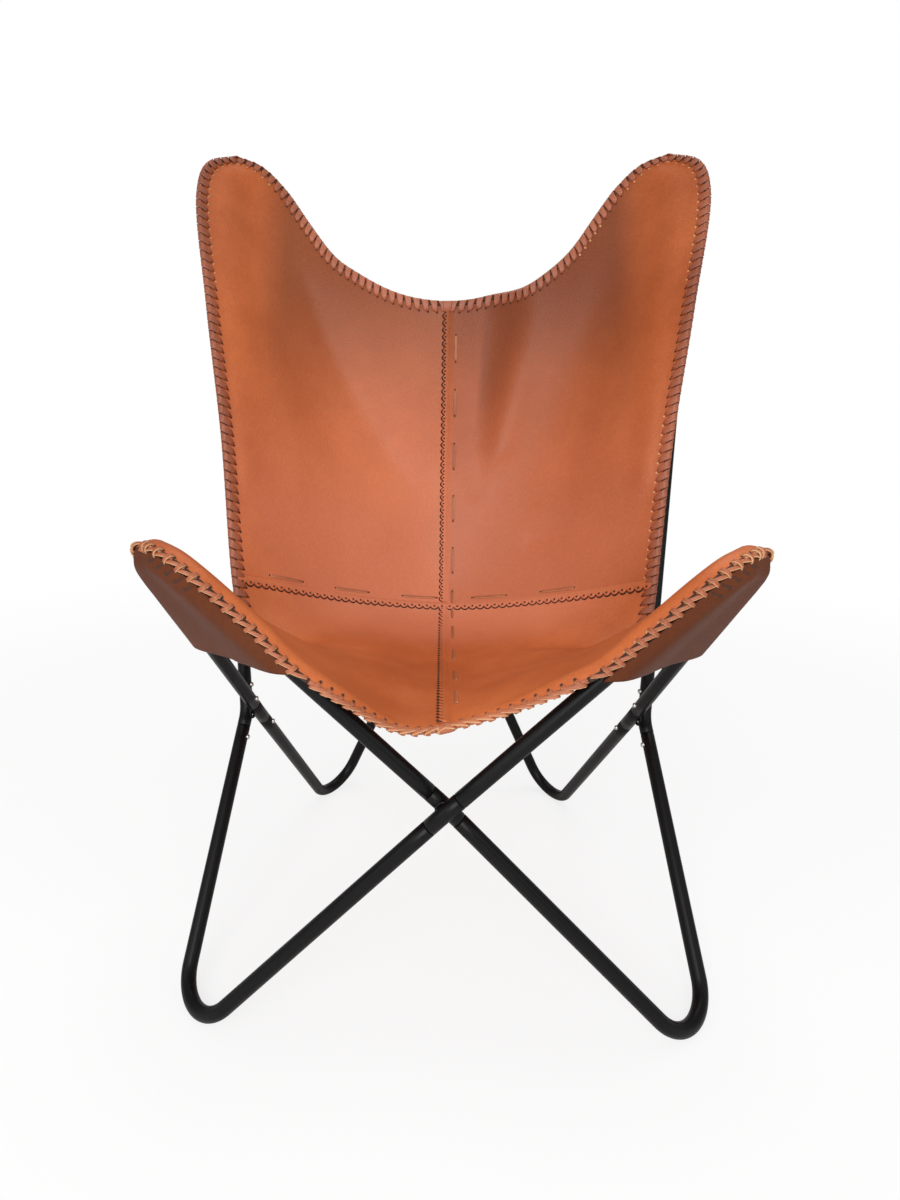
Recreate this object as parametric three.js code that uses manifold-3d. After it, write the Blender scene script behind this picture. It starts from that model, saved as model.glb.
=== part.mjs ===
// Butterfly sling chair: a laced leather sling hung on a knock-down frame of bent steel tube.
// Millimetres, +Z up, the sitter faces -Y and the feet stand on Z = 0.
import * as THREE from 'three';
import { mergeVertices } from 'three/addons/utils/BufferGeometryUtils.js';
import Module from 'manifold-3d';

const wasm = await Module();
wasm.setup();

// Steel tube
const TUBE_DIAMETER = 16;
const TUBE_WALL = 1.2;
const BEND_RADIUS = 46;
const FOOT_FLAT_DEPTH = 0.5;

// Centres of the four kinds of bend, on the right-hand side
const FRONT_FOOT_SPREAD = 232;
const FRONT_FOOT_FORWARD = 243;
const REAR_FOOT_SPREAD = 166;
const REAR_FOOT_BACK = 195;
const ARM_SPREAD = 236;
const ARM_FORWARD = 246;
const ARM_HEIGHT = 443;
const EAR_SPREAD = 297;
const EAR_BACK = 278;
const EAR_HEIGHT = 876;

// Points where the rods cross
const FRONT_CROSS_FORWARD = 278;
const FRONT_CROSS_HEIGHT = 247;
const SIDE_CROSS_SPREAD = 240;
const SIDE_CROSS_FORWARD = 26;
const SIDE_CROSS_HEIGHT = 234;
const REAR_CROSS_BACK = 259;
const REAR_CROSS_HEIGHT = 353;

// Cross fittings: two bars welded side by side, with a spigot for each tube end
const WELD_DEPTH = 0.8;
const COLLAR_LENGTH = 20;
const BAR_BEND_RADIUS = 34;
const SPIGOT_LENGTH = 38;
const SPIGOT_ROOT = 6;
const SPIGOT_WALL = 1.6;
const BORE_FLOOR = 3;

// Snap buttons
const BUTTON_DIAMETER = 6;
const BUTTON_PROUD = 3;
const BUTTON_DOME = 1.8;
const BUTTON_SETBACK = 33;
const BUTTON_FLANGE_DIAMETER = 7.2;
const BUTTON_FLANGE_THICKNESS = 1;

// Fits
const FIT = 0.3;
const SLING_CLEARANCE = 3.5;

// Leather
const LEATHER_THICKNESS = 3.2;
const EAR_HEM = 20;
const EAR_LIFT = 4;
const LACE_THICKNESS = 3;
const LACE_WIDTH = 6.6;
const LACE_GAP = 0.8;
const SEAM_WIDTH = 7;
const EAR_HEM_DROP = 5;

// Sling: points along the centre seam, the free edges and the crease between seat and back
const FRONT_EDGE_FORWARD = 268;
const FRONT_EDGE_HEIGHT = 332;
const SEAT_LOW_BACK = 30;
const SEAT_LOW_HEIGHT = 302;
const CREASE_BACK = 165;
const CREASE_HEIGHT = 324;
const CREASE_BOW_BACK = 28;
const CREASE_BOW_DOWN = 14;
const CREASE_END_RISE = 153;
const LUMBAR_BACK = 232;
const LUMBAR_HEIGHT = 480;
const TOP_EDGE_BACK = 258;
const TOP_EDGE_DROP = 125;
const TOP_SLOPE_SPREAD = 160;
const TOP_SLOPE_BACK = 36;
const TOP_SLOPE_RISE = 50;
const SIDE_DIP_INSET = 4;
const SIDE_DIP_FORWARD = 22;
const SIDE_DIP_RISE = 80;

// Where the leather crosses a leg, as shares of the leg from its cross, and how far out past it
const FRONT_LEG_SHARES = [0.58, 0.8];
const REAR_LEG_SHARES = [0.8, 0.5];
const EAR_LEG_STOPS = [
  { share: 0.5, out: 14 },
  { share: 0.76, out: 24 },
];

// How far the hem rolls over, in degrees: round the arm tubes, along the free front and along the back
const ARM_ROLL = 100;
const FREE_ROLL = 35;
const BACK_ROLL = 12;

// Where the pockets open: shares of the legs from their crosses, and shares of the edges from the ear
const ARM_MOUTH_ON_FRONT_LEG = 0.5;
const ARM_MOUTH_ON_REAR_LEG = 0.36;
const EAR_MOUTH_ON_LEGS = 0.72;
const EAR_MOUTH_ON_TOP = 0.36;
const EAR_MOUTH_ON_SIDE = 0.2;
const EAR_TIP_ON_TOP = 0.24;
const EAR_TIP_ON_SIDE = 0.14;

// Faceting
const TUBE_SIDES = 10;
const BEND_STEPS = 7;
const BAR_STEPS = 3;
const BUTTON_SIDES = 8;
const COLUMNS = [0, 0.1, 0.2, 0.31, 0.43, 0.56, 0.68, 0.78, 0.87, 0.94, 1];
const SEAT_ROWS = [0, 0.05, 0.11, 0.18, 0.27, 0.36, 0.45, 0.54, 0.64, 0.8, 1];
const BACK_ROWS = [0, 0.17, 0.34, 0.5, 0.64, 0.75, 0.84, 0.91, 0.96, 1];
const ROLL_STEPS = 2;
const TIP_TURNS = [1, 0.5, 0];
const TOP_TURNS = [0.8, 0.4, 0];
const POCKET_TURNS = [1, 0.7, 0.4, 0.16];
const POCKET_LEG_ROWS = 3;
const CURVE_SAMPLES = 30;

const TUBE_RADIUS = TUBE_DIAMETER / 2;
const FLAT_TO_CORNER = Math.cos(Math.PI / TUBE_SIDES);
const BORE_RADIUS = (TUBE_RADIUS - TUBE_WALL) * FLAT_TO_CORNER;
const SPIGOT_RADIUS = BORE_RADIUS - FIT;
const SPIGOT_BORE = SPIGOT_RADIUS - SPIGOT_WALL;
const BUTTON_HOLE_RADIUS = (BUTTON_DIAMETER / 2 + FIT) / Math.cos(Math.PI / BUTTON_SIDES);
const LEATHER_OFFSET = TUBE_RADIUS + SLING_CLEARANCE + LEATHER_THICKNESS / 2;
const EAR_OVERHANG = TUBE_RADIUS + EAR_HEM;
const TOP_EDGE_HEIGHT = EAR_HEIGHT - TOP_EDGE_DROP;
const LACE_ROOM = LACE_THICKNESS + 3 * LACE_GAP + LEATHER_THICKNESS / 2;
const CREASE_V = 0.5;
const EDGE_STEP = 0.02;
const TIP_GAP = 0.004;
const SEAM_STOP = 0.004;

const point = (x, y, z) => new THREE.Vector3(x, y, z);
const mirrored = (p) => point(-p.x, p.y, p.z);

// Finishes
const blackCoat = () => new THREE.MeshStandardMaterial({ color: 0x17161a, roughness: 0.38, metalness: 0.35 });
const brightSteel = () => new THREE.MeshStandardMaterial({ color: 0xc9c9c6, roughness: 0.25, metalness: 1 });
const tanLeather = () => new THREE.MeshStandardMaterial({ color: 0xba6a45, roughness: 0.52, metalness: 0 });
const darkLeather = () => new THREE.MeshStandardMaterial({ color: 0x6f4433, roughness: 0.6, metalness: 0 });
const laceLeather = () => new THREE.MeshStandardMaterial({ color: 0xb0623e, roughness: 0.55, metalness: 0 });

// A path given by its own stations, so that straight runs take one step and bends take several
class StationPath extends THREE.Curve {
  constructor(points, tangents) {
    super();
    this.points = points;
    this.tangents = tangents;
  }

  getPointAt(share) {
    return this.points[Math.round(share * (this.points.length - 1))].clone();
  }

  getTangentAt(share) {
    return this.tangents[Math.round(share * (this.points.length - 1))].clone();
  }
}

function ringPoints(radius) {
  const points = [];
  for (let i = 0; i < TUBE_SIDES; i += 1) {
    const angle = (2 * Math.PI * i) / TUBE_SIDES;
    points.push(new THREE.Vector2(radius * Math.cos(angle), radius * Math.sin(angle)));
  }
  return points;
}

function sweep(path, radius, boreRadius) {
  const section = new THREE.Shape(ringPoints(radius));
  if (boreRadius > 0) {
    section.holes.push(new THREE.Path(ringPoints(boreRadius)));
  }
  return new THREE.ExtrudeGeometry(section, {
    steps: path.points.length - 1,
    bevelEnabled: false,
    extrudePath: path,
  });
}

function straightPath(start, end) {
  const along = end.clone().sub(start).normalize();
  return new StationPath([start, end], [along, along]);
}

// Closed meshes to solids for cutting, and back
function solidOf(geometry) {
  const bare = geometry.clone();
  bare.deleteAttribute('normal');
  bare.deleteAttribute('uv');
  const merged = mergeVertices(bare, 1e-4);
  const vertProperties = new Float32Array(merged.attributes.position.array);
  const triVerts = new Uint32Array(merged.index.array);
  return new wasm.Manifold(new wasm.Mesh({ numProp: 3, vertProperties, triVerts }));
}

function geometryOf(solid) {
  const mesh = solid.getMesh();
  const geometry = new THREE.BufferGeometry();
  geometry.setAttribute('position', new THREE.BufferAttribute(new Float32Array(mesh.vertProperties), 3));
  geometry.setIndex(new THREE.BufferAttribute(new Uint32Array(mesh.triVerts), 1));
  geometry.computeVertexNormals();
  return geometry;
}

function rod(start, end, radius, sides) {
  const along = end.clone().sub(start);
  const geometry = new THREE.CylinderGeometry(radius, radius, along.length(), sides);
  const turn = new THREE.Quaternion().setFromUnitVectors(point(0, 1, 0), along.clone().normalize());
  const middle = start.clone().add(end).multiplyScalar(0.5);
  geometry.applyMatrix4(new THREE.Matrix4().compose(middle, turn, point(1, 1, 1)));
  return geometry;
}

const chair = new THREE.Group();

function addPiece(name, geometry, material) {
  const piece = new THREE.Mesh(geometry, material);
  piece.name = name;
  chair.add(piece);
  return piece;
}

// Frame layout: the crosses first, then the loops that run between them
const armTip = point(ARM_SPREAD, -ARM_FORWARD, ARM_HEIGHT);
const earTip = point(EAR_SPREAD, EAR_BACK, EAR_HEIGHT);
const frontFoot = point(FRONT_FOOT_SPREAD, -FRONT_FOOT_FORWARD, BEND_RADIUS);
const rearFoot = point(REAR_FOOT_SPREAD, REAR_FOOT_BACK, BEND_RADIUS);

const crossPoints = {
  front: point(0, -FRONT_CROSS_FORWARD, FRONT_CROSS_HEIGHT),
  rear: point(0, REAR_CROSS_BACK, REAR_CROSS_HEIGHT),
  right: point(SIDE_CROSS_SPREAD, -SIDE_CROSS_FORWARD, SIDE_CROSS_HEIGHT),
  left: point(-SIDE_CROSS_SPREAD, -SIDE_CROSS_FORWARD, SIDE_CROSS_HEIGHT),
};

// Outward normal of a cross, square to both of the rods that meet there
function crossNormal(lowerA, upperA, lowerB, upperB, outward) {
  const alongA = upperA.clone().sub(lowerA);
  const alongB = upperB.clone().sub(lowerB);
  const normal = alongA.cross(alongB).normalize();
  return normal.dot(outward) > 0 ? normal : normal.negate();
}

const crossNormals = {
  front: crossNormal(mirrored(frontFoot), armTip, frontFoot, mirrored(armTip), point(0, -1, 0)),
  rear: crossNormal(mirrored(rearFoot), earTip, rearFoot, mirrored(earTip), point(0, 1, 0)),
  right: crossNormal(frontFoot, earTip, rearFoot, armTip, point(1, 0, 0)),
  left: crossNormal(...[frontFoot, earTip, rearFoot, armTip].map(mirrored), point(-1, 0, 0)),
};

// The two rods of a cross lie against each other, one on its outer side and one on its inner side
const OUTER = 1;
const INNER = -1;

function rodPoint(crossName, side) {
  const step = side * (TUBE_RADIUS - WELD_DEPTH / 2);
  return crossPoints[crossName].clone().addScaledVector(crossNormals[crossName], step);
}

// A loop is a bend around a centre with a straight leg to each of two rod points, all in one plane
function layLoop(centre, firstEnd, secondEnd) {
  const normal = firstEnd.clone().sub(centre).cross(secondEnd.clone().sub(centre)).normalize();
  const tangentPoint = (end, awayFrom) => {
    const reach = end.clone().sub(centre);
    const towards = reach.clone().normalize();
    const aside = awayFrom.clone().sub(centre);
    aside.addScaledVector(towards, -aside.dot(towards)).normalize().negate();
    const angle = Math.acos(BEND_RADIUS / reach.length());
    const spoke = towards.multiplyScalar(Math.cos(angle)).addScaledVector(aside, Math.sin(angle));
    return centre.clone().addScaledVector(spoke, BEND_RADIUS);
  };
  const ends = [firstEnd, secondEnd];
  const touches = [tangentPoint(firstEnd, secondEnd), tangentPoint(secondEnd, firstEnd)];
  const legs = ends.map((end, i) => touches[i].clone().sub(end).normalize());
  const crown = legs[0].clone().add(legs[1]).normalize();
  return { centre, normal, ends, touches, legs, crown };
}

// A foot loop sinks until its bend rests on the floor, with the flat of the foot cut off below
function layFoot(centre, firstEnd, secondEnd) {
  const settled = centre.clone();
  let loop = layLoop(settled, firstEnd, secondEnd);
  for (let pass = 0; pass < 6; pass += 1) {
    const drop = BEND_RADIUS * Math.sqrt(1 - loop.normal.z * loop.normal.z);
    settled.z = drop + TUBE_RADIUS * FLAT_TO_CORNER - FOOT_FLAT_DEPTH;
    loop = layLoop(settled, firstEnd, secondEnd);
  }
  return loop;
}

const loops = {
  front_left_leg: layFoot(mirrored(frontFoot), rodPoint('front', OUTER), rodPoint('left', OUTER)),
  front_right_leg: layFoot(frontFoot, rodPoint('front', INNER), rodPoint('right', OUTER)),
  rear_left_leg: layFoot(mirrored(rearFoot), rodPoint('left', INNER), rodPoint('rear', INNER)),
  rear_right_leg: layFoot(rearFoot, rodPoint('right', INNER), rodPoint('rear', OUTER)),
  left_arm: layLoop(mirrored(armTip), rodPoint('front', INNER), rodPoint('left', INNER)),
  right_arm: layLoop(armTip, rodPoint('front', OUTER), rodPoint('right', INNER)),
  left_back: layLoop(mirrored(earTip), rodPoint('left', OUTER), rodPoint('rear', OUTER)),
  right_back: layLoop(earTip, rodPoint('right', OUTER), rodPoint('rear', INNER)),
};

// Each rod through a cross: its side, and the loop and leg at either end of it
const rods = {
  front: [
    { side: OUTER, branches: [['front_left_leg', 0], ['right_arm', 0]] },
    { side: INNER, branches: [['front_right_leg', 0], ['left_arm', 0]] },
  ],
  left: [
    { side: OUTER, branches: [['front_left_leg', 1], ['left_back', 0]] },
    { side: INNER, branches: [['rear_left_leg', 0], ['left_arm', 1]] },
  ],
  right: [
    { side: OUTER, branches: [['front_right_leg', 1], ['right_back', 0]] },
    { side: INNER, branches: [['rear_right_leg', 0], ['right_arm', 1]] },
  ],
  rear: [
    { side: OUTER, branches: [['rear_right_leg', 1], ['left_back', 1]] },
    { side: INNER, branches: [['rear_left_leg', 1], ['right_back', 1]] },
  ],
};

// A button sits on its leg and faces the inside of the chair, square to the leg
function buttonSeat(crossName, loopName, leg) {
  const along = loops[loopName].legs[leg];
  const centre = loops[loopName].ends[leg].clone().addScaledVector(along, BUTTON_SETBACK);
  const facing = crossNormals[crossName].clone().negate();
  facing.addScaledVector(along, -facing.dot(along)).normalize();
  return { centre, facing };
}

function buttonHole(seat) {
  const far = seat.centre.clone().addScaledVector(seat.facing, TUBE_DIAMETER);
  return solidOf(rod(seat.centre, far, BUTTON_HOLE_RADIUS, BUTTON_SIDES));
}

const seats = [];
for (const [crossName, pair] of Object.entries(rods)) {
  for (const { branches } of pair) {
    for (const [loopName, leg] of branches) {
      seats.push({ crossName, loopName, leg, ...buttonSeat(crossName, loopName, leg) });
    }
  }
}

// Tube loops
function loopPath(loop) {
  const points = [loop.ends[0].clone().addScaledVector(loop.legs[0], COLLAR_LENGTH)];
  const tangents = [loop.legs[0]];
  const first = loop.touches[0].clone().sub(loop.centre);
  const last = loop.touches[1].clone().sub(loop.centre);
  const axis = first.clone().cross(loop.legs[0]).normalize();
  const turn = 2 * Math.PI - first.angleTo(last);
  const sweepAngle = loop.crown.dot(first) > 0 ? first.angleTo(last) : turn;
  for (let i = 0; i <= BEND_STEPS; i += 1) {
    const angle = (sweepAngle * i) / BEND_STEPS;
    points.push(first.clone().applyAxisAngle(axis, angle).add(loop.centre));
    tangents.push(loop.legs[0].clone().applyAxisAngle(axis, angle));
  }
  points.push(loop.ends[1].clone().addScaledVector(loop.legs[1], COLLAR_LENGTH));
  tangents.push(loop.legs[1].clone().negate());
  return new StationPath(points, tangents);
}

const floorSize = 4 * (FRONT_FOOT_SPREAD + FRONT_FOOT_FORWARD);
const floorSlab = new THREE.BoxGeometry(floorSize, floorSize, TUBE_DIAMETER).translate(0, 0, -TUBE_RADIUS);

for (const [loopName, loop] of Object.entries(loops)) {
  let solid = solidOf(sweep(loopPath(loop), TUBE_RADIUS, TUBE_RADIUS - TUBE_WALL));
  for (const seat of seats.filter((one) => one.loopName === loopName)) {
    solid = solid.subtract(buttonHole(seat));
  }
  if (loopName.endsWith('leg')) {
    solid = solid.subtract(solidOf(floorSlab));
  }
  addPiece(`${loopName}_loop`, geometryOf(solid), blackCoat());
}

// Cross fittings
function barPath(corner, startLeg, endLeg) {
  const reach = COLLAR_LENGTH - FIT;
  const start = corner.clone().addScaledVector(startLeg, reach);
  const end = corner.clone().addScaledVector(endLeg, reach);
  const arriving = startLeg.clone().negate();
  const kink = arriving.angleTo(endLeg);
  const setback = BAR_BEND_RADIUS * Math.tan(kink / 2);
  const axis = arriving.clone().cross(endLeg).normalize();
  const centreSide = axis.clone().cross(arriving);
  const bendStart = corner.clone().addScaledVector(startLeg, setback);
  const bendCentre = bendStart.clone().addScaledVector(centreSide, BAR_BEND_RADIUS);
  const points = [start];
  const tangents = [arriving];
  for (let i = 0; i <= BAR_STEPS; i += 1) {
    const angle = (kink * i) / BAR_STEPS;
    points.push(bendStart.clone().sub(bendCentre).applyAxisAngle(axis, angle).add(bendCentre));
    tangents.push(arriving.clone().applyAxisAngle(axis, angle));
  }
  points.push(end);
  tangents.push(endLeg);
  return new StationPath(points, tangents);
}

for (const [crossName, pair] of Object.entries(rods)) {
  let fitting = null;
  const cuts = [];
  for (const { side, branches } of pair) {
    const corner = rodPoint(crossName, side);
    const legs = branches.map(([loopName, leg]) => loops[loopName].legs[leg]);
    let barSolid = solidOf(sweep(barPath(corner, legs[0], legs[1]), TUBE_RADIUS, 0));
    for (const leg of legs) {
      const root = corner.clone().addScaledVector(leg, COLLAR_LENGTH - SPIGOT_ROOT);
      const tip = corner.clone().addScaledVector(leg, COLLAR_LENGTH + SPIGOT_LENGTH);
      const boreStart = corner.clone().addScaledVector(leg, COLLAR_LENGTH + BORE_FLOOR);
      const boreEnd = tip.clone().addScaledVector(leg, SPIGOT_ROOT);
      barSolid = barSolid.add(solidOf(sweep(straightPath(root, tip), SPIGOT_RADIUS, 0)));
      cuts.push(solidOf(sweep(straightPath(boreStart, boreEnd), SPIGOT_BORE, 0)));
    }
    fitting = fitting === null ? barSolid : fitting.add(barSolid);
  }
  for (const seat of seats.filter((one) => one.crossName === crossName)) {
    cuts.push(buttonHole(seat));
  }
  for (const cut of cuts) {
    fitting = fitting.subtract(cut);
  }
  addPiece(`${crossName}_cross`, geometryOf(fitting), blackCoat());
}

// Snap buttons: a domed pin with a flange that stays inside the spigot
function buttonGeometry() {
  const flangeRadius = BUTTON_FLANGE_DIAMETER / 2;
  const stemRadius = BUTTON_DIAMETER / 2;
  const boreFlat = SPIGOT_BORE * FLAT_TO_CORNER;
  const flangeTop = Math.sqrt(boreFlat * boreFlat - flangeRadius * flangeRadius) - FIT;
  const top = TUBE_RADIUS + BUTTON_PROUD;
  const profile = [
    new THREE.Vector2(0, flangeTop - BUTTON_FLANGE_THICKNESS),
    new THREE.Vector2(flangeRadius, flangeTop - BUTTON_FLANGE_THICKNESS),
    new THREE.Vector2(flangeRadius, flangeTop),
    new THREE.Vector2(stemRadius, flangeTop),
    new THREE.Vector2(stemRadius, top - BUTTON_DOME),
    new THREE.Vector2(stemRadius * Math.SQRT1_2, top - BUTTON_DOME * (1 - Math.SQRT1_2)),
    new THREE.Vector2(0, top),
  ];
  return new THREE.LatheGeometry(profile, BUTTON_SIDES);
}

for (const seat of seats) {
  const button = addPiece(`${seat.loopName}_button_at_${seat.crossName}`, buttonGeometry(), brightSteel());
  button.position.copy(seat.centre);
  button.quaternion.setFromUnitVectors(point(0, 1, 0), seat.facing);
}

// Sling. Each half is laid out on the right-hand side, over its own arm and back loops
const degrees = THREE.MathUtils.degToRad;
const clamp = THREE.MathUtils.clamp;
const smoothstep = THREE.MathUtils.smoothstep;

function mirroredLoop(loop) {
  return {
    centre: mirrored(loop.centre),
    crown: mirrored(loop.crown),
    normal: mirrored(loop.normal),
    ends: loop.ends.map(mirrored),
    touches: loop.touches.map(mirrored),
  };
}

// The side of a loop's plane that the seat is on
function facingInside(loop) {
  const seatCentre = point(0, 0, SEAT_LOW_HEIGHT + BEND_RADIUS);
  const normal = loop.normal.clone();
  return normal.dot(seatCentre.sub(loop.centre)) > 0 ? normal : normal.negate();
}

const outwardOf = (loop, leg) => loop.touches[leg].clone().sub(loop.centre).normalize();

// A point beside a leg, a share of the way from its cross: out is measured away from the loop, level
// along the face
function besideLeg(loop, face, leg, share, out, level) {
  const base = loop.ends[leg].clone().lerp(loop.touches[leg], share);
  return base.addScaledVector(outwardOf(loop, leg), out).addScaledVector(face, level);
}

// A point round the tip of a loop; turn runs from the crown at 0 to the start of one leg at 1
function roundTip(loop, face, leg, turn, out, level) {
  const outward = outwardOf(loop, leg);
  const axis = loop.crown.clone().cross(outward).normalize();
  const spoke = loop.crown.clone().applyAxisAngle(axis, loop.crown.angleTo(outward) * turn);
  return loop.centre.clone().addScaledVector(spoke, BEND_RADIUS + out).addScaledVector(face, level);
}

// A smooth curve, with the share of its length at each of its own points
function smoothCurve(points) {
  const curve = new THREE.CatmullRomCurve3(points, false, 'centripetal');
  curve.arcLengthDivisions = CURVE_SAMPLES * (points.length - 1);
  const lengths = curve.getLengths();
  const whole = lengths[lengths.length - 1];
  const shares = points.map((p, i) => lengths[i * CURVE_SAMPLES] / whole);
  return { at: (share) => curve.getPointAt(share), shares };
}

// A curve across the whole sling, from the points of its right half; u is 0 at the centre, 1 at the end
function crossCurve(points) {
  const curve = smoothCurve([...points.slice(1).reverse().map(mirrored), ...points]);
  return {
    at: (u) => curve.at((1 + u) / 2),
    start: points[0],
    end: points[points.length - 1],
    shares: curve.shares.slice(points.length - 1).map((share) => 2 * share - 1),
  };
}

const frontCentre = point(0, -FRONT_EDGE_FORWARD, FRONT_EDGE_HEIGHT);
const creaseCentre = point(0, CREASE_BACK, CREASE_HEIGHT);
const topCentre = point(0, TOP_EDGE_BACK, TOP_EDGE_HEIGHT);
const sideDip = point(
  SIDE_CROSS_SPREAD - SIDE_DIP_INSET,
  -SIDE_CROSS_FORWARD - SIDE_DIP_FORWARD,
  SIDE_CROSS_HEIGHT + SIDE_DIP_RISE,
);
const seamPoints = [
  frontCentre,
  point(0, SEAT_LOW_BACK, SEAT_LOW_HEIGHT),
  creaseCentre,
  point(0, LUMBAR_BACK, LUMBAR_HEIGHT),
  topCentre,
];

// A curve from the front of the sling to its top, with v at CREASE_V where it meets the crease
function creasedCurve(points, crease) {
  const curve = smoothCurve(points);
  const creaseShare = curve.shares[points.indexOf(crease)];
  const at = (v) => {
    const seat = Math.min(v, CREASE_V) / CREASE_V;
    const back = Math.max(v - CREASE_V, 0) / (1 - CREASE_V);
    return curve.at(seat * creaseShare + back * (1 - creaseShare));
  };
  return { at, seatShare: (index) => (curve.shares[index] / creaseShare) * CREASE_V };
}

const centreSeam = creasedCurve(seamPoints, creaseCentre);

// u runs from the centre seam at 0 to the side edge at 1, v from the front edge at 0 to the top edge at 1
class SlingHalf {
  constructor(arm, ear) {
    this.arm = arm;
    this.ear = ear;
    this.armFace = facingInside(arm);
    this.earFace = facingInside(ear);
    const armTurn = (leg, turn) => roundTip(arm, this.armFace, leg, turn, 0, LEATHER_OFFSET);
    const armLeg = (leg, share) => besideLeg(arm, this.armFace, leg, share, 0, LEATHER_OFFSET);
    const earLevel = LEATHER_OFFSET + EAR_LIFT;
    const earTurn = (leg, turn) => roundTip(ear, this.earFace, leg, turn, EAR_OVERHANG, earLevel);
    const earLeg = (share, out) => besideLeg(ear, this.earFace, 0, share, out, earLevel);
    const creaseEnd = earLeg(CREASE_END_RISE / (ear.touches[0].z - ear.ends[0].z), 0);
    const creaseMiddle = creaseCentre.clone().lerp(creaseEnd, 0.5);
    this.frontEdge = crossCurve([
      frontCentre,
      ...FRONT_LEG_SHARES.map((share) => armLeg(0, share)),
      ...TIP_TURNS.map((turn) => armTurn(0, turn)),
    ]);
    this.creaseLine = crossCurve([
      creaseCentre,
      creaseMiddle.add(point(0, CREASE_BOW_BACK, -CREASE_BOW_DOWN)),
      creaseEnd,
    ]);
    this.topEdge = crossCurve([
      topCentre,
      topCentre.clone().add(point(TOP_SLOPE_SPREAD, TOP_SLOPE_BACK, TOP_SLOPE_RISE)),
      ...TOP_TURNS.map((turn) => earTurn(1, turn)),
    ]);
    const sidePoints = [
      ...TIP_TURNS.slice().reverse().map((turn) => armTurn(1, turn)),
      ...REAR_LEG_SHARES.map((share) => armLeg(1, share)),
      sideDip,
      creaseEnd,
      ...EAR_LEG_STOPS.map(({ share, out }) => earLeg(share, out)),
      ...TIP_TURNS.map((turn) => earTurn(0, turn)),
    ];
    this.sideEdge = creasedCurve(sidePoints, creaseEnd);
    this.frontRoll = this.frontEdge.shares[1];
    this.armSideEnd = this.sideEdge.seatShare(sidePoints.indexOf(sideDip) - 1);
    this.dipShare = this.sideEdge.seatShare(sidePoints.indexOf(sideDip));
  }

  // Smooth surface through the five curves, even about the centre seam
  place(u, v) {
    const edge = this.sideEdge.at(v);
    const seam = centreSeam.at(v);
    const square = u * u;
    const result = point(u * edge.x, 0, 0);
    result.y = (1 - square) * seam.y + square * edge.y;
    result.z = (1 - square) * seam.z + square * edge.z;
    const onSeat = v < CREASE_V;
    const rise = onSeat ? smoothstep(v, 0, CREASE_V) : smoothstep(v, CREASE_V, 1);
    const lower = onSeat ? this.frontEdge : this.creaseLine;
    const upper = onSeat ? this.creaseLine : this.topEdge;
    for (const [curve, weight] of [[lower, 1 - rise], [upper, rise]]) {
      const here = curve.at(u);
      result.x += weight * (here.x - u * curve.end.x);
      result.y += weight * (here.y - (1 - square) * curve.start.y - square * curve.end.y);
      result.z += weight * (here.z - (1 - square) * curve.start.z - square * curve.end.z);
    }
    return result;
  }

  // Unit normal on the sitter's side
  normal(u, v) {
    const across = clamp(u, EDGE_STEP, 1 - 2 * EDGE_STEP);
    const along = clamp(v, 2 * EDGE_STEP, 1 - 2 * EDGE_STEP);
    const du = this.place(across + EDGE_STEP, along).sub(this.place(across - EDGE_STEP, along));
    const dv = this.place(across, along + EDGE_STEP).sub(this.place(across, along - EDGE_STEP));
    const normal = du.cross(dv);
    if (u === 0) {
      normal.x = 0;
    }
    return normal.normalize();
  }

  // How far the hem has rolled over by its end
  roll(u, v) {
    if (v === 0) {
      return degrees(FREE_ROLL + (ARM_ROLL - FREE_ROLL) * smoothstep(u, 0, this.frontRoll));
    }
    if (v === 1) {
      return degrees(BACK_ROLL);
    }
    const leavingArm = smoothstep(v, this.armSideEnd / 2, this.dipShare);
    return degrees(ARM_ROLL + (BACK_ROLL - ARM_ROLL) * leavingArm);
  }

  // How closely the edge follows the arm tube
  armHold(u, v) {
    return v === 0 ? smoothstep(u, 0, this.frontRoll) : 1 - smoothstep(v, this.armSideEnd, this.dipShare);
  }

  // Directions at the edge before the hem rolls: out of the leather, and its normal
  edgeFrame(u, v) {
    if (u === 1 && v === 0) {
      return { outward: this.arm.crown.clone(), normal: this.armFace.clone() };
    }
    if (u === 1 && v === 1) {
      return { outward: this.ear.crown.clone(), normal: this.earFace.clone() };
    }
    const onSide = u === 1;
    const stepTo = (step) => {
      const sideV = onSide ? clamp(v + step, 0, 1) : v;
      const endU = onSide ? 1 : clamp(u + step, 0, 1);
      return this.place(endU, sideV);
    };
    const insideV = v === 0 ? EDGE_STEP : 1 - EDGE_STEP;
    const inside = onSide ? this.place(1 - EDGE_STEP, v) : this.place(u, insideV);
    const tangent = stepTo(EDGE_STEP).sub(stepTo(-EDGE_STEP)).normalize();
    const surface = this.normal(u, v).lerp(this.armFace, this.armHold(u, v));
    const outward = tangent.clone().cross(surface).normalize();
    if (outward.dot(inside.sub(this.place(u, v))) > 0) {
      outward.negate();
    }
    const normal = tangent.clone().cross(outward).normalize();
    return { outward, normal: normal.dot(surface) > 0 ? normal : normal.negate() };
  }

  // Place, outward direction and normal at a share of the way round the roll
  hem(u, v, share) {
    const flat = this.edgeFrame(u, v);
    const angle = this.roll(u, v) * share;
    const place = this.place(u, v);
    place.addScaledVector(flat.outward, LEATHER_OFFSET * Math.sin(angle));
    place.addScaledVector(flat.normal, -LEATHER_OFFSET * (1 - Math.cos(angle)));
    const outward = flat.outward.clone().multiplyScalar(Math.cos(angle));
    const normal = flat.normal.clone().multiplyScalar(Math.cos(angle));
    outward.addScaledVector(flat.normal, -Math.sin(angle));
    normal.addScaledVector(flat.outward, Math.sin(angle));
    return { place, outward, normal };
  }
}

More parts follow.
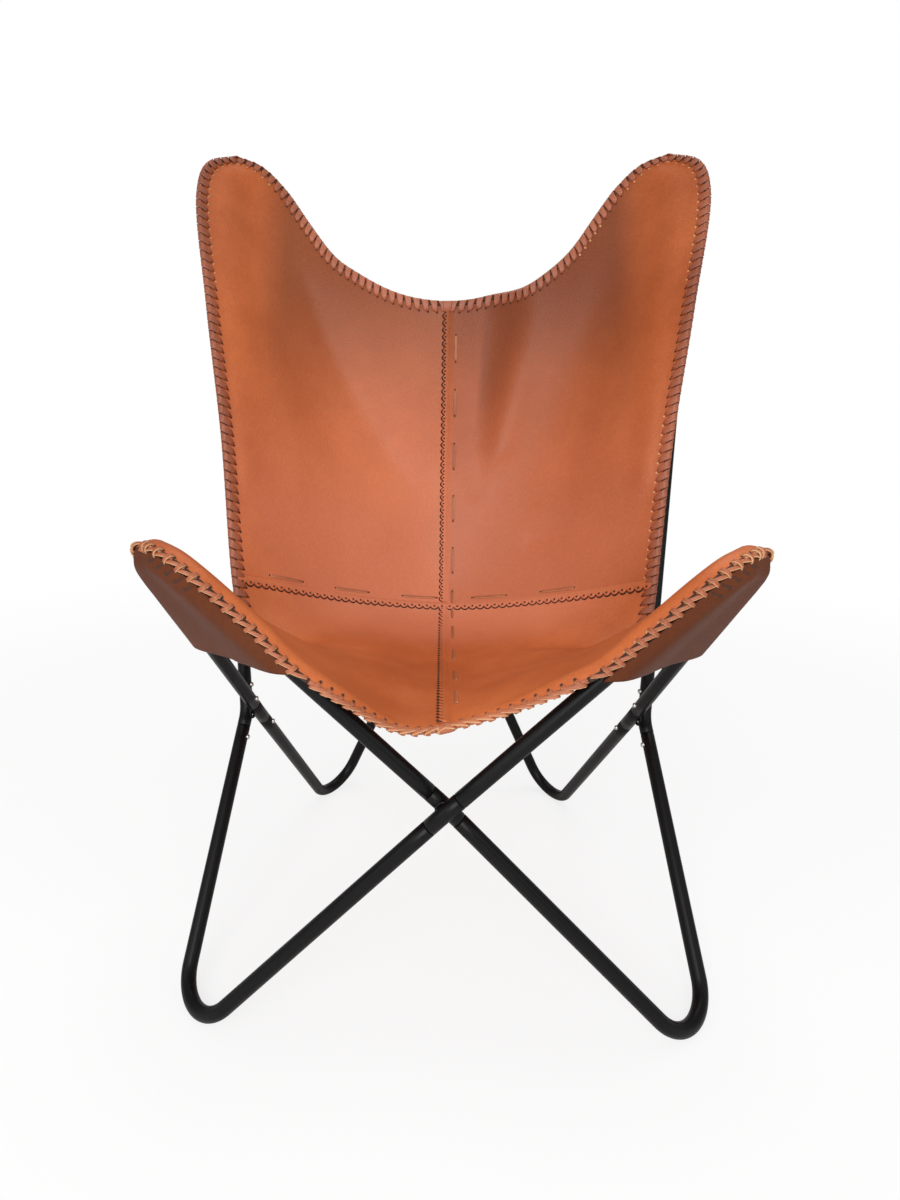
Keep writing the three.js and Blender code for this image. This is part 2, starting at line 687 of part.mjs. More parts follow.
const halves = {
  right: new SlingHalf(loops.right_arm, loops.right_back),
  left: new SlingHalf(mirroredLoop(loops.left_arm), mirroredLoop(loops.left_back)),
};
const onSide = (side, p) => (side === 'right' ? p : mirrored(p));

// Closed geometry with its faces turned outward
function closedGeometry(points, triangles) {
  let volume = 0;
  for (const [a, b, c] of triangles) {
    volume += points[a].dot(points[b].clone().cross(points[c]));
  }
  const turned = volume > 0 ? triangles : triangles.map(([a, b, c]) => [a, c, b]);
  const geometry = new THREE.BufferGeometry().setFromPoints(points);
  geometry.setIndex(turned.flat());
  geometry.computeVertexNormals();
  return geometry;
}

// Leather sheet: its two faces, and a wall along each edge that only one cell uses
function sheetGeometry(places, normals, cells) {
  const count = places.length;
  const half = LEATHER_THICKNESS / 2;
  const top = places.map((p, k) => p.clone().addScaledVector(normals[k], half));
  const bottom = places.map((p, k) => p.clone().addScaledVector(normals[k], -half));
  const triangles = [];
  const openEdges = new Map();
  for (const cell of cells) {
    const [a, b, c, d] = cell;
    const [e, f, g, h] = cell.map((k) => k + count);
    triangles.push([a, b, c], [a, c, d], [e, g, f], [e, h, g]);
    for (const [from, to] of [[a, b], [b, c], [c, d], [d, a]]) {
      if (!openEdges.delete(`${to} ${from}`)) {
        openEdges.set(`${from} ${to}`, [from, to]);
      }
    }
  }
  for (const [from, to] of openEdges.values()) {
    triangles.push([to, from, from + count], [to, from + count, to + count]);
  }
  return closedGeometry([...top, ...bottom], triangles);
}

// Closed band through a row of four-cornered sections
function bandGeometry(sections) {
  const triangles = [];
  for (let i = 0; i + 1 < sections.length; i += 1) {
    for (let k = 0; k < 4; k += 1) {
      const a = 4 * i + k;
      const b = 4 * i + ((k + 1) % 4);
      triangles.push([a, b, b + 4], [a, b + 4, a + 4]);
    }
  }
  const last = 4 * (sections.length - 1);
  triangles.push([0, 2, 1], [0, 3, 2], [last, last + 1, last + 2], [last, last + 2, last + 3]);
  return closedGeometry(sections.flat(), triangles);
}

// Panels stop half a seam's width short of the seams, and end in the rolled hem
function seamShift(half, u, v, creaseSide) {
  const shift = point(u === 0 ? SEAM_WIDTH / 2 : 0, 0, 0);
  if (v === CREASE_V) {
    const ahead = half.place(u, v + creaseSide * EDGE_STEP).sub(half.place(u, v)).normalize();
    shift.addScaledVector(ahead, SEAM_WIDTH / 2);
  }
  return shift;
}

function addPanel(side, name, rows, endV, creaseSide) {
  const half = halves[side];
  const places = [];
  const normals = [];
  const cells = [];
  const add = (place, normal) => {
    places.push(onSide(side, place));
    normals.push(onSide(side, normal));
    return places.length - 1;
  };
  const grid = rows.map((v) => COLUMNS.map((u) => {
    const shift = seamShift(half, u, v, creaseSide);
    const root = add(half.place(u, v).add(shift), half.normal(u, v));
    return { u, v, root, shift };
  }));
  for (let i = 0; i + 1 < rows.length; i += 1) {
    for (let j = 0; j + 1 < COLUMNS.length; j += 1) {
      cells.push([grid[i][j].root, grid[i][j + 1].root, grid[i + 1][j + 1].root, grid[i + 1][j].root]);
    }
  }
  const endRow = grid[rows.indexOf(endV)];
  const sideColumn = grid.map((row) => row[row.length - 1]);
  const rim = endV === 0
    ? [...endRow, ...sideColumn.slice(1)]
    : [...sideColumn, ...endRow.slice(0, -1).reverse()];
  const strips = rim.map(({ u, v, root, shift }) => {
    const strip = [root];
    for (let k = 1; k <= ROLL_STEPS; k += 1) {
      const hem = half.hem(u, v, k / ROLL_STEPS);
      strip.push(add(hem.place.add(shift), hem.normal));
    }
    return strip;
  });
  for (let i = 0; i + 1 < strips.length; i += 1) {
    for (let k = 0; k < ROLL_STEPS; k += 1) {
      cells.push([strips[i][k], strips[i][k + 1], strips[i + 1][k + 1], strips[i + 1][k]]);
    }
  }
  addPiece(`${side}_${name}`, sheetGeometry(places, normals, cells), tanLeather());
}

// Corner pockets. Each row crosses the pocket from the side edge to the front or top edge: a hem, a fold
// under the tube, the middle, and the same again. The last row closes the tip at the level of the hem.
function pocketRow(sideHem, sideFold, endFold, endHem) {
  return [sideHem, sideFold, sideFold.clone().lerp(endFold, 0.5), endFold, endHem];
}

// Arm pockets wrap the tube below the rolled hem
function armPocketRows(half) {
  const hemOut = LEATHER_OFFSET * Math.sin(degrees(ARM_ROLL));
  const hemLevel = LEATHER_OFFSET * Math.cos(degrees(ARM_ROLL)) - LACE_ROOM;
  const mouths = [ARM_MOUTH_ON_FRONT_LEG, ARM_MOUTH_ON_REAR_LEG];
  const rows = [];
  for (let step = 0; step < POCKET_LEG_ROWS; step += 1) {
    const on = (leg, out, level) => {
      const share = mouths[leg] + ((1 - mouths[leg]) * step) / POCKET_LEG_ROWS;
      return besideLeg(half.arm, half.armFace, leg, share, out, level);
    };
    rows.push(pocketRow(
      on(1, hemOut, hemLevel),
      on(1, TUBE_RADIUS / 2, -LEATHER_OFFSET),
      on(0, TUBE_RADIUS / 2, -LEATHER_OFFSET),
      on(0, hemOut, hemLevel),
    ));
  }
  for (const turn of POCKET_TURNS) {
    const closing = turn === POCKET_TURNS[POCKET_TURNS.length - 1];
    const on = (leg, out, level) => roundTip(half.arm, half.armFace, leg, turn, out, level);
    const fold = (leg) => on(leg, closing ? hemOut : TUBE_RADIUS / 2, closing ? hemLevel : -LEATHER_OFFSET);
    rows.push(pocketRow(on(1, hemOut, hemLevel), fold(1), fold(0), on(0, hemOut, hemLevel)));
  }
  return rows;
}

// Ear pockets hang behind the tube from the top and side edges
function earPocketRows(half) {
  const foldOut = TUBE_RADIUS + SLING_CLEARANCE;
  const hemOut = EAR_OVERHANG - LACE_WIDTH / 2;
  const rows = [];
  const behind = (u, v) => {
    const { outward, normal } = half.edgeFrame(u, v);
    return half.place(u, v).addScaledVector(outward, -LACE_WIDTH / 2).addScaledVector(normal, -EAR_HEM_DROP);
  };
  for (let step = 0; step < POCKET_LEG_ROWS; step += 1) {
    const share = step / POCKET_LEG_ROWS;
    const leg = EAR_MOUTH_ON_LEGS + (1 - EAR_MOUTH_ON_LEGS) * share;
    const toTip = (mouth, tip) => 1 - mouth - (tip - mouth) * share;
    rows.push(pocketRow(
      behind(1, toTip(EAR_MOUTH_ON_SIDE, EAR_TIP_ON_SIDE)),
      besideLeg(half.ear, half.earFace, 0, leg, foldOut, -LEATHER_OFFSET),
      besideLeg(half.ear, half.earFace, 1, leg, foldOut, -LEATHER_OFFSET),
      behind(toTip(EAR_MOUTH_ON_TOP, EAR_TIP_ON_TOP), 1),
    ));
  }
  for (const turn of POCKET_TURNS) {
    const closing = turn === POCKET_TURNS[POCKET_TURNS.length - 1];
    const hemLevel = LEATHER_OFFSET + EAR_LIFT - EAR_HEM_DROP;
    const on = (leg, out, level) => roundTip(half.ear, half.earFace, leg, turn, out, level);
    const fold = (leg) => on(leg, closing ? hemOut : foldOut, closing ? hemLevel : -LEATHER_OFFSET);
    rows.push(pocketRow(on(0, hemOut, hemLevel), fold(0), fold(1), on(1, hemOut, hemLevel)));
  }
  return rows;
}

function addPocket(side, name, rows, face) {
  const columns = rows[0].length;
  const places = rows.flat().map((p) => onSide(side, p));
  const normals = places.map(() => onSide(side, face));
  const cells = [];
  for (let i = 0; i + 1 < rows.length; i += 1) {
    for (let j = 0; j + 1 < columns; j += 1) {
      const a = i * columns + j;
      cells.push([a, a + columns, a + columns + 1, a + 1]);
    }
  }
  addPiece(`${side}_${name}`, sheetGeometry(places, normals, cells), darkLeather());
}

// Edge lacing lies along the end of the hem
function laceSection(side, u, v) {
  const { place, outward, normal } = halves[side].hem(u, v, 1);
  const corner = (out, up) =>
    onSide(side, place.clone().addScaledVector(outward, out).addScaledVector(normal, up));
  const far = LACE_GAP + LACE_THICKNESS;
  return [
    corner(LACE_GAP, LACE_WIDTH / 2),
    corner(far, LACE_WIDTH / 4),
    corner(far, -LACE_WIDTH / 4),
    corner(LACE_GAP, -LACE_WIDTH / 2),
  ];
}

// Seam lacing fills the seams between the panels
function seamSection(place, normal, across) {
  const reach = SEAM_WIDTH / 2 - FIT;
  const rise = LEATHER_THICKNESS / 2;
  const corner = (side, up) => {
    const shifted = place.clone().addScaledVector(across, side * reach);
    return shifted.addScaledVector(normal, up * rise);
  };
  return [corner(-1, 1), corner(1, 1), corner(1, -1), corner(-1, -1)];
}

function creaseSection(side, u) {
  const half = halves[side];
  const ahead = half.place(u, CREASE_V + EDGE_STEP).sub(half.place(u, CREASE_V - EDGE_STEP)).normalize();
  const section = seamSection(half.place(u, CREASE_V), half.normal(u, CREASE_V), ahead);
  return section.map((p) => onSide(side, p));
}

const centreSection = (v) => seamSection(centreSeam.at(v), halves.right.normal(0, v), point(1, 0, 0));

// One band over both halves, from the left end to the right end
function acrossBoth(sectionAt, shares) {
  const outside = shares.slice(1);
  return [
    ...outside.slice().reverse().map((u) => sectionAt('left', u)),
    sectionAt('right', 0),
    ...outside.map((u) => sectionAt('right', u)),
  ];
}

const seatRows = SEAT_ROWS.map((share) => share * CREASE_V);
const backRows = BACK_ROWS.map((share) => CREASE_V + share * (1 - CREASE_V));
const shortOfTip = (share) => clamp(share, TIP_GAP, 1 - TIP_GAP);
const sideShares = [...seatRows, ...backRows.slice(1)].map(shortOfTip);
const endShares = [0, ...COLUMNS.slice(1).map(shortOfTip)];

for (const side of ['right', 'left']) {
  const half = halves[side];
  addPanel(side, 'seat_panel', seatRows, 0, -1);
  addPanel(side, 'back_panel', backRows, 1, 1);
  addPocket(side, 'arm_pocket', armPocketRows(half), half.armFace);
  addPocket(side, 'ear_pocket', earPocketRows(half), half.earFace);
  const sections = sideShares.map((v) => laceSection(side, 1, v));
  addPiece(`${side}_edge_lacing`, bandGeometry(sections), laceLeather());
}

const frontSections = acrossBoth((side, u) => laceSection(side, u, 0), endShares);
const topSections = acrossBoth((side, u) => laceSection(side, u, 1), endShares);
const creaseSections = acrossBoth(creaseSection, COLUMNS);
const seatSections = seatRows.map((v) => centreSection(Math.min(v, CREASE_V - SEAM_STOP)));
const backSections = backRows.map((v) => centreSection(Math.max(v, CREASE_V + SEAM_STOP)));
addPiece('front_edge_lacing', bandGeometry(frontSections), laceLeather());
addPiece('top_edge_lacing', bandGeometry(topSections), laceLeather());
addPiece('crease_lacing', bandGeometry(creaseSections), laceLeather());
addPiece('seat_seam_lacing', bandGeometry(seatSections), laceLeather());
addPiece('back_seam_lacing', bandGeometry(backSections), laceLeather());

// Centre the chair over the origin
const middle = new THREE.Box3().setFromObject(chair).getCenter(point(0, 0, 0));
for (const piece of chair.children) {
  piece.position.x -= middle.x;
  piece.position.y -= middle.y;
}

export default chair;
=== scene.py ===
"""Butterfly sling chair: a laced leather sling on a frame of bent steel tube, in metres."""

import logging
import math
from dataclasses import dataclass, field, replace
from enum import Enum, IntEnum
from typing import Sequence

import bpy
import numpy as np
from mathutils import Matrix, Vector

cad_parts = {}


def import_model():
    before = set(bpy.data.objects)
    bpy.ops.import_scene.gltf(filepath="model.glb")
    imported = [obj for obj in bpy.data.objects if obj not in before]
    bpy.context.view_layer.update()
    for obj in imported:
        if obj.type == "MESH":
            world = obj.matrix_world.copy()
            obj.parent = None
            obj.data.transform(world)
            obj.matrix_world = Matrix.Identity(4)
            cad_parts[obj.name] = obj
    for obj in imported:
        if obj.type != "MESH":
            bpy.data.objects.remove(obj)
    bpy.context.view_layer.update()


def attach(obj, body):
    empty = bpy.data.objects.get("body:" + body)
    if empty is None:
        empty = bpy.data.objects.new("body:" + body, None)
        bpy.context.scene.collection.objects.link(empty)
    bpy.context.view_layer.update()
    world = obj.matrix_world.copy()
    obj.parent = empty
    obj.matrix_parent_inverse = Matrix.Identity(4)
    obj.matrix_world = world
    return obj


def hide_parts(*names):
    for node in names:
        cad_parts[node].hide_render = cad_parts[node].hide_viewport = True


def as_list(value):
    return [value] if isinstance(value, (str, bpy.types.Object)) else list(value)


LOG = logging.getLogger("sling_chair")

Array = np.ndarray
Faces = list[tuple[int, ...]]
Piece = bpy.types.Object
Material = bpy.types.Material
Node = bpy.types.Node
Socket = bpy.types.NodeSocket
Tree = bpy.types.NodeTree
Colour = tuple[float, float, float]
Place = tuple[float, float, float]
Pair = tuple[float, float]

# Where the crease lies between the front edge of the sling, at 0, and its top edge, at 1.
CREASE_V = 0.5
# Turns a place on the right into the same place on the left.
MIRROR = np.array([-1.0, 1.0, 1.0])
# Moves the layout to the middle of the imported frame.
CENTRE_SHIFT = np.array([-0.00044249, -0.01403133, 0.0])
FULL_TURN = 2 * math.pi
# A direction that no tube or bead runs along.
SWEEP_ASIDE = np.array([0.31, 0.52, 0.79])


class Side(Enum):
    """The two sides of the chair, as the camera sees them."""

    RIGHT = "right"
    LEFT = "left"


class Edge(Enum):
    """The free edges of one half of the sling."""

    FRONT = "front"
    SIDE = "side"
    TOP = "top"


class Rod(Enum):
    """Which of the two rods of a cross: the one away from the seat or the one next to it."""

    OUTER = 1.0
    INNER = -1.0


class Skin(IntEnum):
    """The materials of thong work, in the order of their slots."""

    THONG = 0
    RAW = 1
    # Painted shade: the dark in holes, pits and eyes, under strands and in shadow lines.
    PAINTED_SHADE = 2
    TAN = 3
    HEM = 4


def vec(x: float, y: float, z: float) -> Array:
    """A point in metres."""
    return np.array([x, y, z], float)


def unit(v: Array) -> Array:
    """The same direction with length one, along the last axis."""
    return v / np.maximum(np.linalg.norm(v, axis=-1, keepdims=True), 1e-12)


def smoothstep(x: Array, low: float, high: float) -> Array:
    """Smooth rise from 0 at low to 1 at high."""
    t = np.clip((np.asarray(x, float) - low) / (high - low), 0.0, 1.0)
    return t * t * (3.0 - 2.0 * t)


def turned(v: Array, axis: Array, angle: float) -> Array:
    """A vector turned about a unit axis through the origin, by an angle in radians."""
    return np.array(Matrix.Rotation(angle, 3, Vector(axis)) @ Vector(v))


def angle_between(a: Array, b: Array) -> float:
    """The angle between two vectors, in radians."""
    return math.acos(float(np.clip(unit(a) @ unit(b), -1.0, 1.0)))


def run_lengths(line: Array) -> Array:
    """Lengths along a line up to each of its points."""
    return np.concatenate([[0.0], np.cumsum(np.linalg.norm(np.diff(line, axis=0), axis=1))])


def pick(lengths: Array, values: Array, at: Array) -> Array:
    """Vectors along a line, read at lengths."""
    return np.stack([np.interp(at, lengths, values[:, k]) for k in range(3)], axis=-1)


def ring(centre: Array, across: Array, up: Array, radius: float, sides: int) -> Array:
    """Points round a circle, from a unit direction across it towards another a quarter turn on."""
    angles = np.linspace(0.0, FULL_TURN, sides, endpoint=False)
    return centre + radius * (np.cos(angles)[:, None] * across + np.sin(angles)[:, None] * up)


class SmoothCurve:
    """A smooth curve through given points, read by its share of length."""

    LEAST_STEP = 1e-7

    def __init__(self, points: Sequence[Array], samples: int = 48) -> None:
        """Lays the curve.

        Args:
            points: The points it passes through.
            samples: Steps between two points.
        """
        p = np.array(points, float)
        ends = np.vstack([2 * p[0] - p[1], p, 2 * p[-1] - p[-2]])
        steps = np.sqrt(np.maximum(np.linalg.norm(np.diff(ends, axis=0), axis=1), self.LEAST_STEP))
        t = np.linspace(0.0, 1.0, samples, endpoint=False)[:, None]
        runs = []
        for i in range(len(p) - 1):
            a, b, c, d = ends[i : i + 4]
            before, here, after = steps[i : i + 3]
            leave = ((b - a) / before - (c - a) / (before + here) + (c - b) / here) * here
            arrive = ((c - b) / here - (d - b) / (here + after) + (d - c) / after) * here
            square = -3 * b + 3 * c - 2 * leave - arrive
            cube = 2 * b - 2 * c + leave + arrive
            runs.append(b + leave * t + square * t**2 + cube * t**3)
        self.line = np.vstack(runs + [p[-1:]])
        lengths = run_lengths(self.line)
        self.steps = lengths / lengths[-1]
        self.shares = self.steps[::samples]

    def at(self, share: Array) -> Array:
        """Points at shares of the length."""
        return pick(self.steps, self.line, np.asarray(share, float))


class CrossCurve:
    """A curve across the whole sling, given by its right half; u is 0 at the centre and 1 at the end."""

    def __init__(self, points: Sequence[Array]) -> None:
        """Lays the curve.

        Args:
            points: The points of its right half; it also passes through their mirror images.
        """
        self.curve = SmoothCurve([p * MIRROR for p in points[:0:-1]] + list(points))
        self.start = points[0]
        self.end = points[-1]
        self.shares = 2 * self.curve.shares[len(points) - 1 :] - 1

    def at(self, u: Array) -> Array:
        """Points on the right half."""
        return self.curve.at((1 + np.asarray(u, float)) / 2)


class CreasedCurve:
    """A curve from the front of the sling to its top that meets the crease at CREASE_V."""

    def __init__(self, points: Sequence[Array], crease: int) -> None:
        """Lays the curve.

        Args:
            points: The points it passes through.
            crease: The index of the point on the crease.
        """
        self.curve = SmoothCurve(points)
        self.crease = float(self.curve.shares[crease])

    def at(self, v: Array) -> Array:
        """Points at places along, from the front edge."""
        return self.curve.at(np.interp(v, (0.0, CREASE_V, 1.0), (0.0, self.crease, 1.0)))

    def seat_share(self, index: int) -> float:
        """v at one of the curve's own points on the seat."""
        return float(self.curve.shares[index]) / self.crease * CREASE_V


@dataclass
class Mesh:
    """Vertices, faces and the material index of each face, gathered before they become an object."""

    points: list[Array] = field(default_factory=list)
    faces: Faces = field(default_factory=list)
    slots: list[int] = field(default_factory=list)
    count: int = 0

    def add(self, points: Array, faces: Faces, slot: int | Sequence[int] = 0) -> None:
        """Adds a closed piece, with its faces turned outward.

        Args:
            points: Its vertices.
            faces: Its faces, as indices into points, all turned the same way.
            slot: The material index of its faces, or one for each face.
        """
        fans = np.array([(face[0], face[i], face[i + 1]) for face in faces for i in range(1, len(face) - 1)])
        a, b, c = (points[fans[:, k]] - points.mean(axis=0) for k in range(3))
        if np.sum(a * np.cross(b, c)) <= 0:
            faces = [face[::-1] for face in faces]
        self.points.append(points)
        self.faces.extend(tuple(int(k) + self.count for k in face) for face in faces)
        self.slots.extend([slot] * len(faces) if isinstance(slot, int) else slot)
        self.count += len(points)

    def add_rings(self, points: Array, sides: int, slot: int | Sequence[int] = 0) -> None:
        """Adds a closed tube through rings of vertices, ring after ring, with a face over each end."""
        self.add(points, ring_faces(len(points) // sides, sides), slot)

    def build(self, name: str, materials: Sequence[Material], body: str, node: str, slot: str) -> Piece:
        """Makes the object, centred like the frame and smoothly shaded, and puts it in its node's place.

        Args:
            name: The object's name.
            materials: Its materials, in the order of the slots.
            body: The body that it rides on.
            node: The node that it replaces.
            slot: The name of its material slot; it is not used.

        Returns:
            The new object.
        """
        data = bpy.data.meshes.new(name)
        verts = np.vstack(self.points) + CENTRE_SHIFT
        data.from_pydata(verts.tolist(), [], self.faces)
        for material in materials:
            data.materials.append(material)
        data.polygons.foreach_set("material_index", self.slots)
        data.polygons.foreach_set("use_smooth", [True] * len(data.polygons))
        data.validate()
        data.update()
        piece = bpy.data.objects.new(name, data)
        bpy.context.scene.collection.objects.link(piece)
        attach(piece, body)
        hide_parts(node)
        LOG.info("%s in place of %s", name, node)
        return piece


def ring_faces(rings: int, sides: int, closed: bool = False) -> Faces:
    """Faces of a tube through rings of vertices.

    Args:
        rings: The number of rings.
        sides: The vertices in each ring.
        closed: True where the last ring meets the first, False for a face over each end.

    Returns:
        The faces, the two ends last.
    """
    faces = []
    for i in range(rings if closed else rings - 1):
        here, after = i * sides, (i + 1) % rings * sides
        for k in range(sides):
            n = (k + 1) % sides
            faces.append((here + k, here + n, after + n, after + k))
    if not closed:
        faces.append(tuple(range(sides - 1, -1, -1)))
        faces.append(tuple((rings - 1) * sides + k for k in range(sides)))
    return faces


def sweep_rings(path: Array, radii: Array, sides: int) -> Array:
    """Round rings along a path, without twist.

    Args:
        path: The centre line.
        radii: The radius at each point of it.
        sides: Vertices in a ring.

    Returns:
        The rings' vertices, ring after ring.
    """
    tangents = unit(np.gradient(path, axis=0))
    across = unit(np.cross(tangents[0], SWEEP_ASIDE))
    rings = []
    for place, tangent, radius in zip(path, tangents, radii):
        across = unit(across - tangent * (across @ tangent))
        rings.append(ring(place, across, np.cross(tangent, across), radius, sides))
    return np.vstack(rings)


@dataclass
class Loop:
    """A bent tube: a bend round a centre and a straight leg to each of two rod points."""

    LEG_STEPS = 12

    centre: Array
    ends: list[Array]
    bend_radius: float
    normal: Array = field(init=False)
    touches: list[Array] = field(init=False)
    legs: list[Array] = field(init=False)
    crown: Array = field(init=False)

    def __post_init__(self) -> None:
        """Finds the plane, the places where the legs touch the bend, and the crown of the bend."""
        first, second = self.ends
        self.normal = unit(np.cross(first - self.centre, second - self.centre))
        self.touches = [self._touch(first, second), self._touch(second, first)]
        self.legs = [unit(touch - end) for touch, end in zip(self.touches, self.ends)]
        self.crown = unit(self.legs[0] + self.legs[1])

    def _touch(self, end: Array, other: Array) -> Array:
        """The place where a leg leaves the bend.

        Args:
            end: The leg's rod point.
            other: The other leg's rod point, which the place lies away from.

        Returns:
            The place.
        """
        reach = end - self.centre
        towards = unit(reach)
        aside = other - self.centre
        aside = -unit(aside - towards * (aside @ towards))
        angle = math.acos(self.bend_radius / float(np.linalg.norm(reach)))
        return self.centre + self.bend_radius * (towards * math.cos(angle) + aside * math.sin(angle))

    def mirrored(self) -> "Loop":
        """The same loop on the other side of the chair."""
        return Loop(self.centre * MIRROR, [end * MIRROR for end in self.ends], self.bend_radius)

    def face(self, towards: Array) -> Array:
        """The loop's normal on the side of a point."""
        return self.normal if self.normal @ (towards - self.centre) > 0 else -self.normal

    def outward(self, leg: int) -> Array:
        """Direction square to a leg, out of the loop."""
        return unit(self.touches[leg] - self.centre)

    def beside_leg(self, face: Array, leg: int, share: float, out: float, level: float) -> Array:
        """A point beside a leg: at a share of it from its cross, out of the loop and along face."""
        base = self.ends[leg] + (self.touches[leg] - self.ends[leg]) * share
        return base + self.outward(leg) * out + face * level

    def round_tip(self, face: Array, leg: int, turn: float, out: float, level: float) -> Array:
        """A point round the bend.

        Args:
            face: The side of the loop that level is measured on.
            leg: The leg that the turn goes towards.
            turn: 0 at the crown, 1 where the leg starts.
            out: Distance out of the bend.
            level: Distance along face.

        Returns:
            The point.
        """
        outward = self.outward(leg)
        axis = unit(np.cross(self.crown, outward))
        spoke = turned(self.crown, axis, angle_between(self.crown, outward) * turn)
        return self.centre + spoke * (self.bend_radius + out) + face * level

    def centre_line(self, collar: float, steps: int) -> Array:
        """Points along the tube from one end to the other.

        Args:
            collar: How far from the crossing the tube starts.
            steps: Steps round the bend.

        Returns:
            The points.
        """
        first = self.touches[0] - self.centre
        last = self.touches[1] - self.centre
        axis = unit(np.cross(first, self.legs[0]))
        short = angle_between(first, last)
        sweep = short if self.crown @ first > 0 else FULL_TURN - short
        start = self.ends[0] + self.legs[0] * collar
        reach = self.touches[0] - self.ends[0] - self.legs[0] * collar
        runs = [start + reach * s for s in np.linspace(0.0, 1.0, self.LEG_STEPS, endpoint=False)]
        runs += [self.centre + turned(first, axis, sweep * s) for s in np.linspace(0.0, 1.0, steps)]
        reach = self.ends[1] + self.legs[1] * collar - self.touches[1]
        runs += [self.touches[1] + reach * s for s in np.linspace(0.0, 1.0, self.LEG_STEPS + 1)[1:]]
        return np.array(runs)


# The cross and the rod where each leg of a loop ends.
LOOP_ENDS = {
    "front_left_leg": (("front", Rod.OUTER), ("left", Rod.OUTER)),
    "front_right_leg": (("front", Rod.INNER), ("right", Rod.OUTER)),
    "rear_left_leg": (("left", Rod.INNER), ("rear", Rod.INNER)),
    "rear_right_leg": (("right", Rod.INNER), ("rear", Rod.OUTER)),
    "left_arm": (("front", Rod.INNER), ("left", Rod.INNER)),
    "right_arm": (("front", Rod.OUTER), ("right", Rod.INNER)),
    "left_back": (("left", Rod.OUTER), ("rear", Rod.OUTER)),
    "right_back": (("right", Rod.OUTER), ("rear", Rod.INNER)),
}


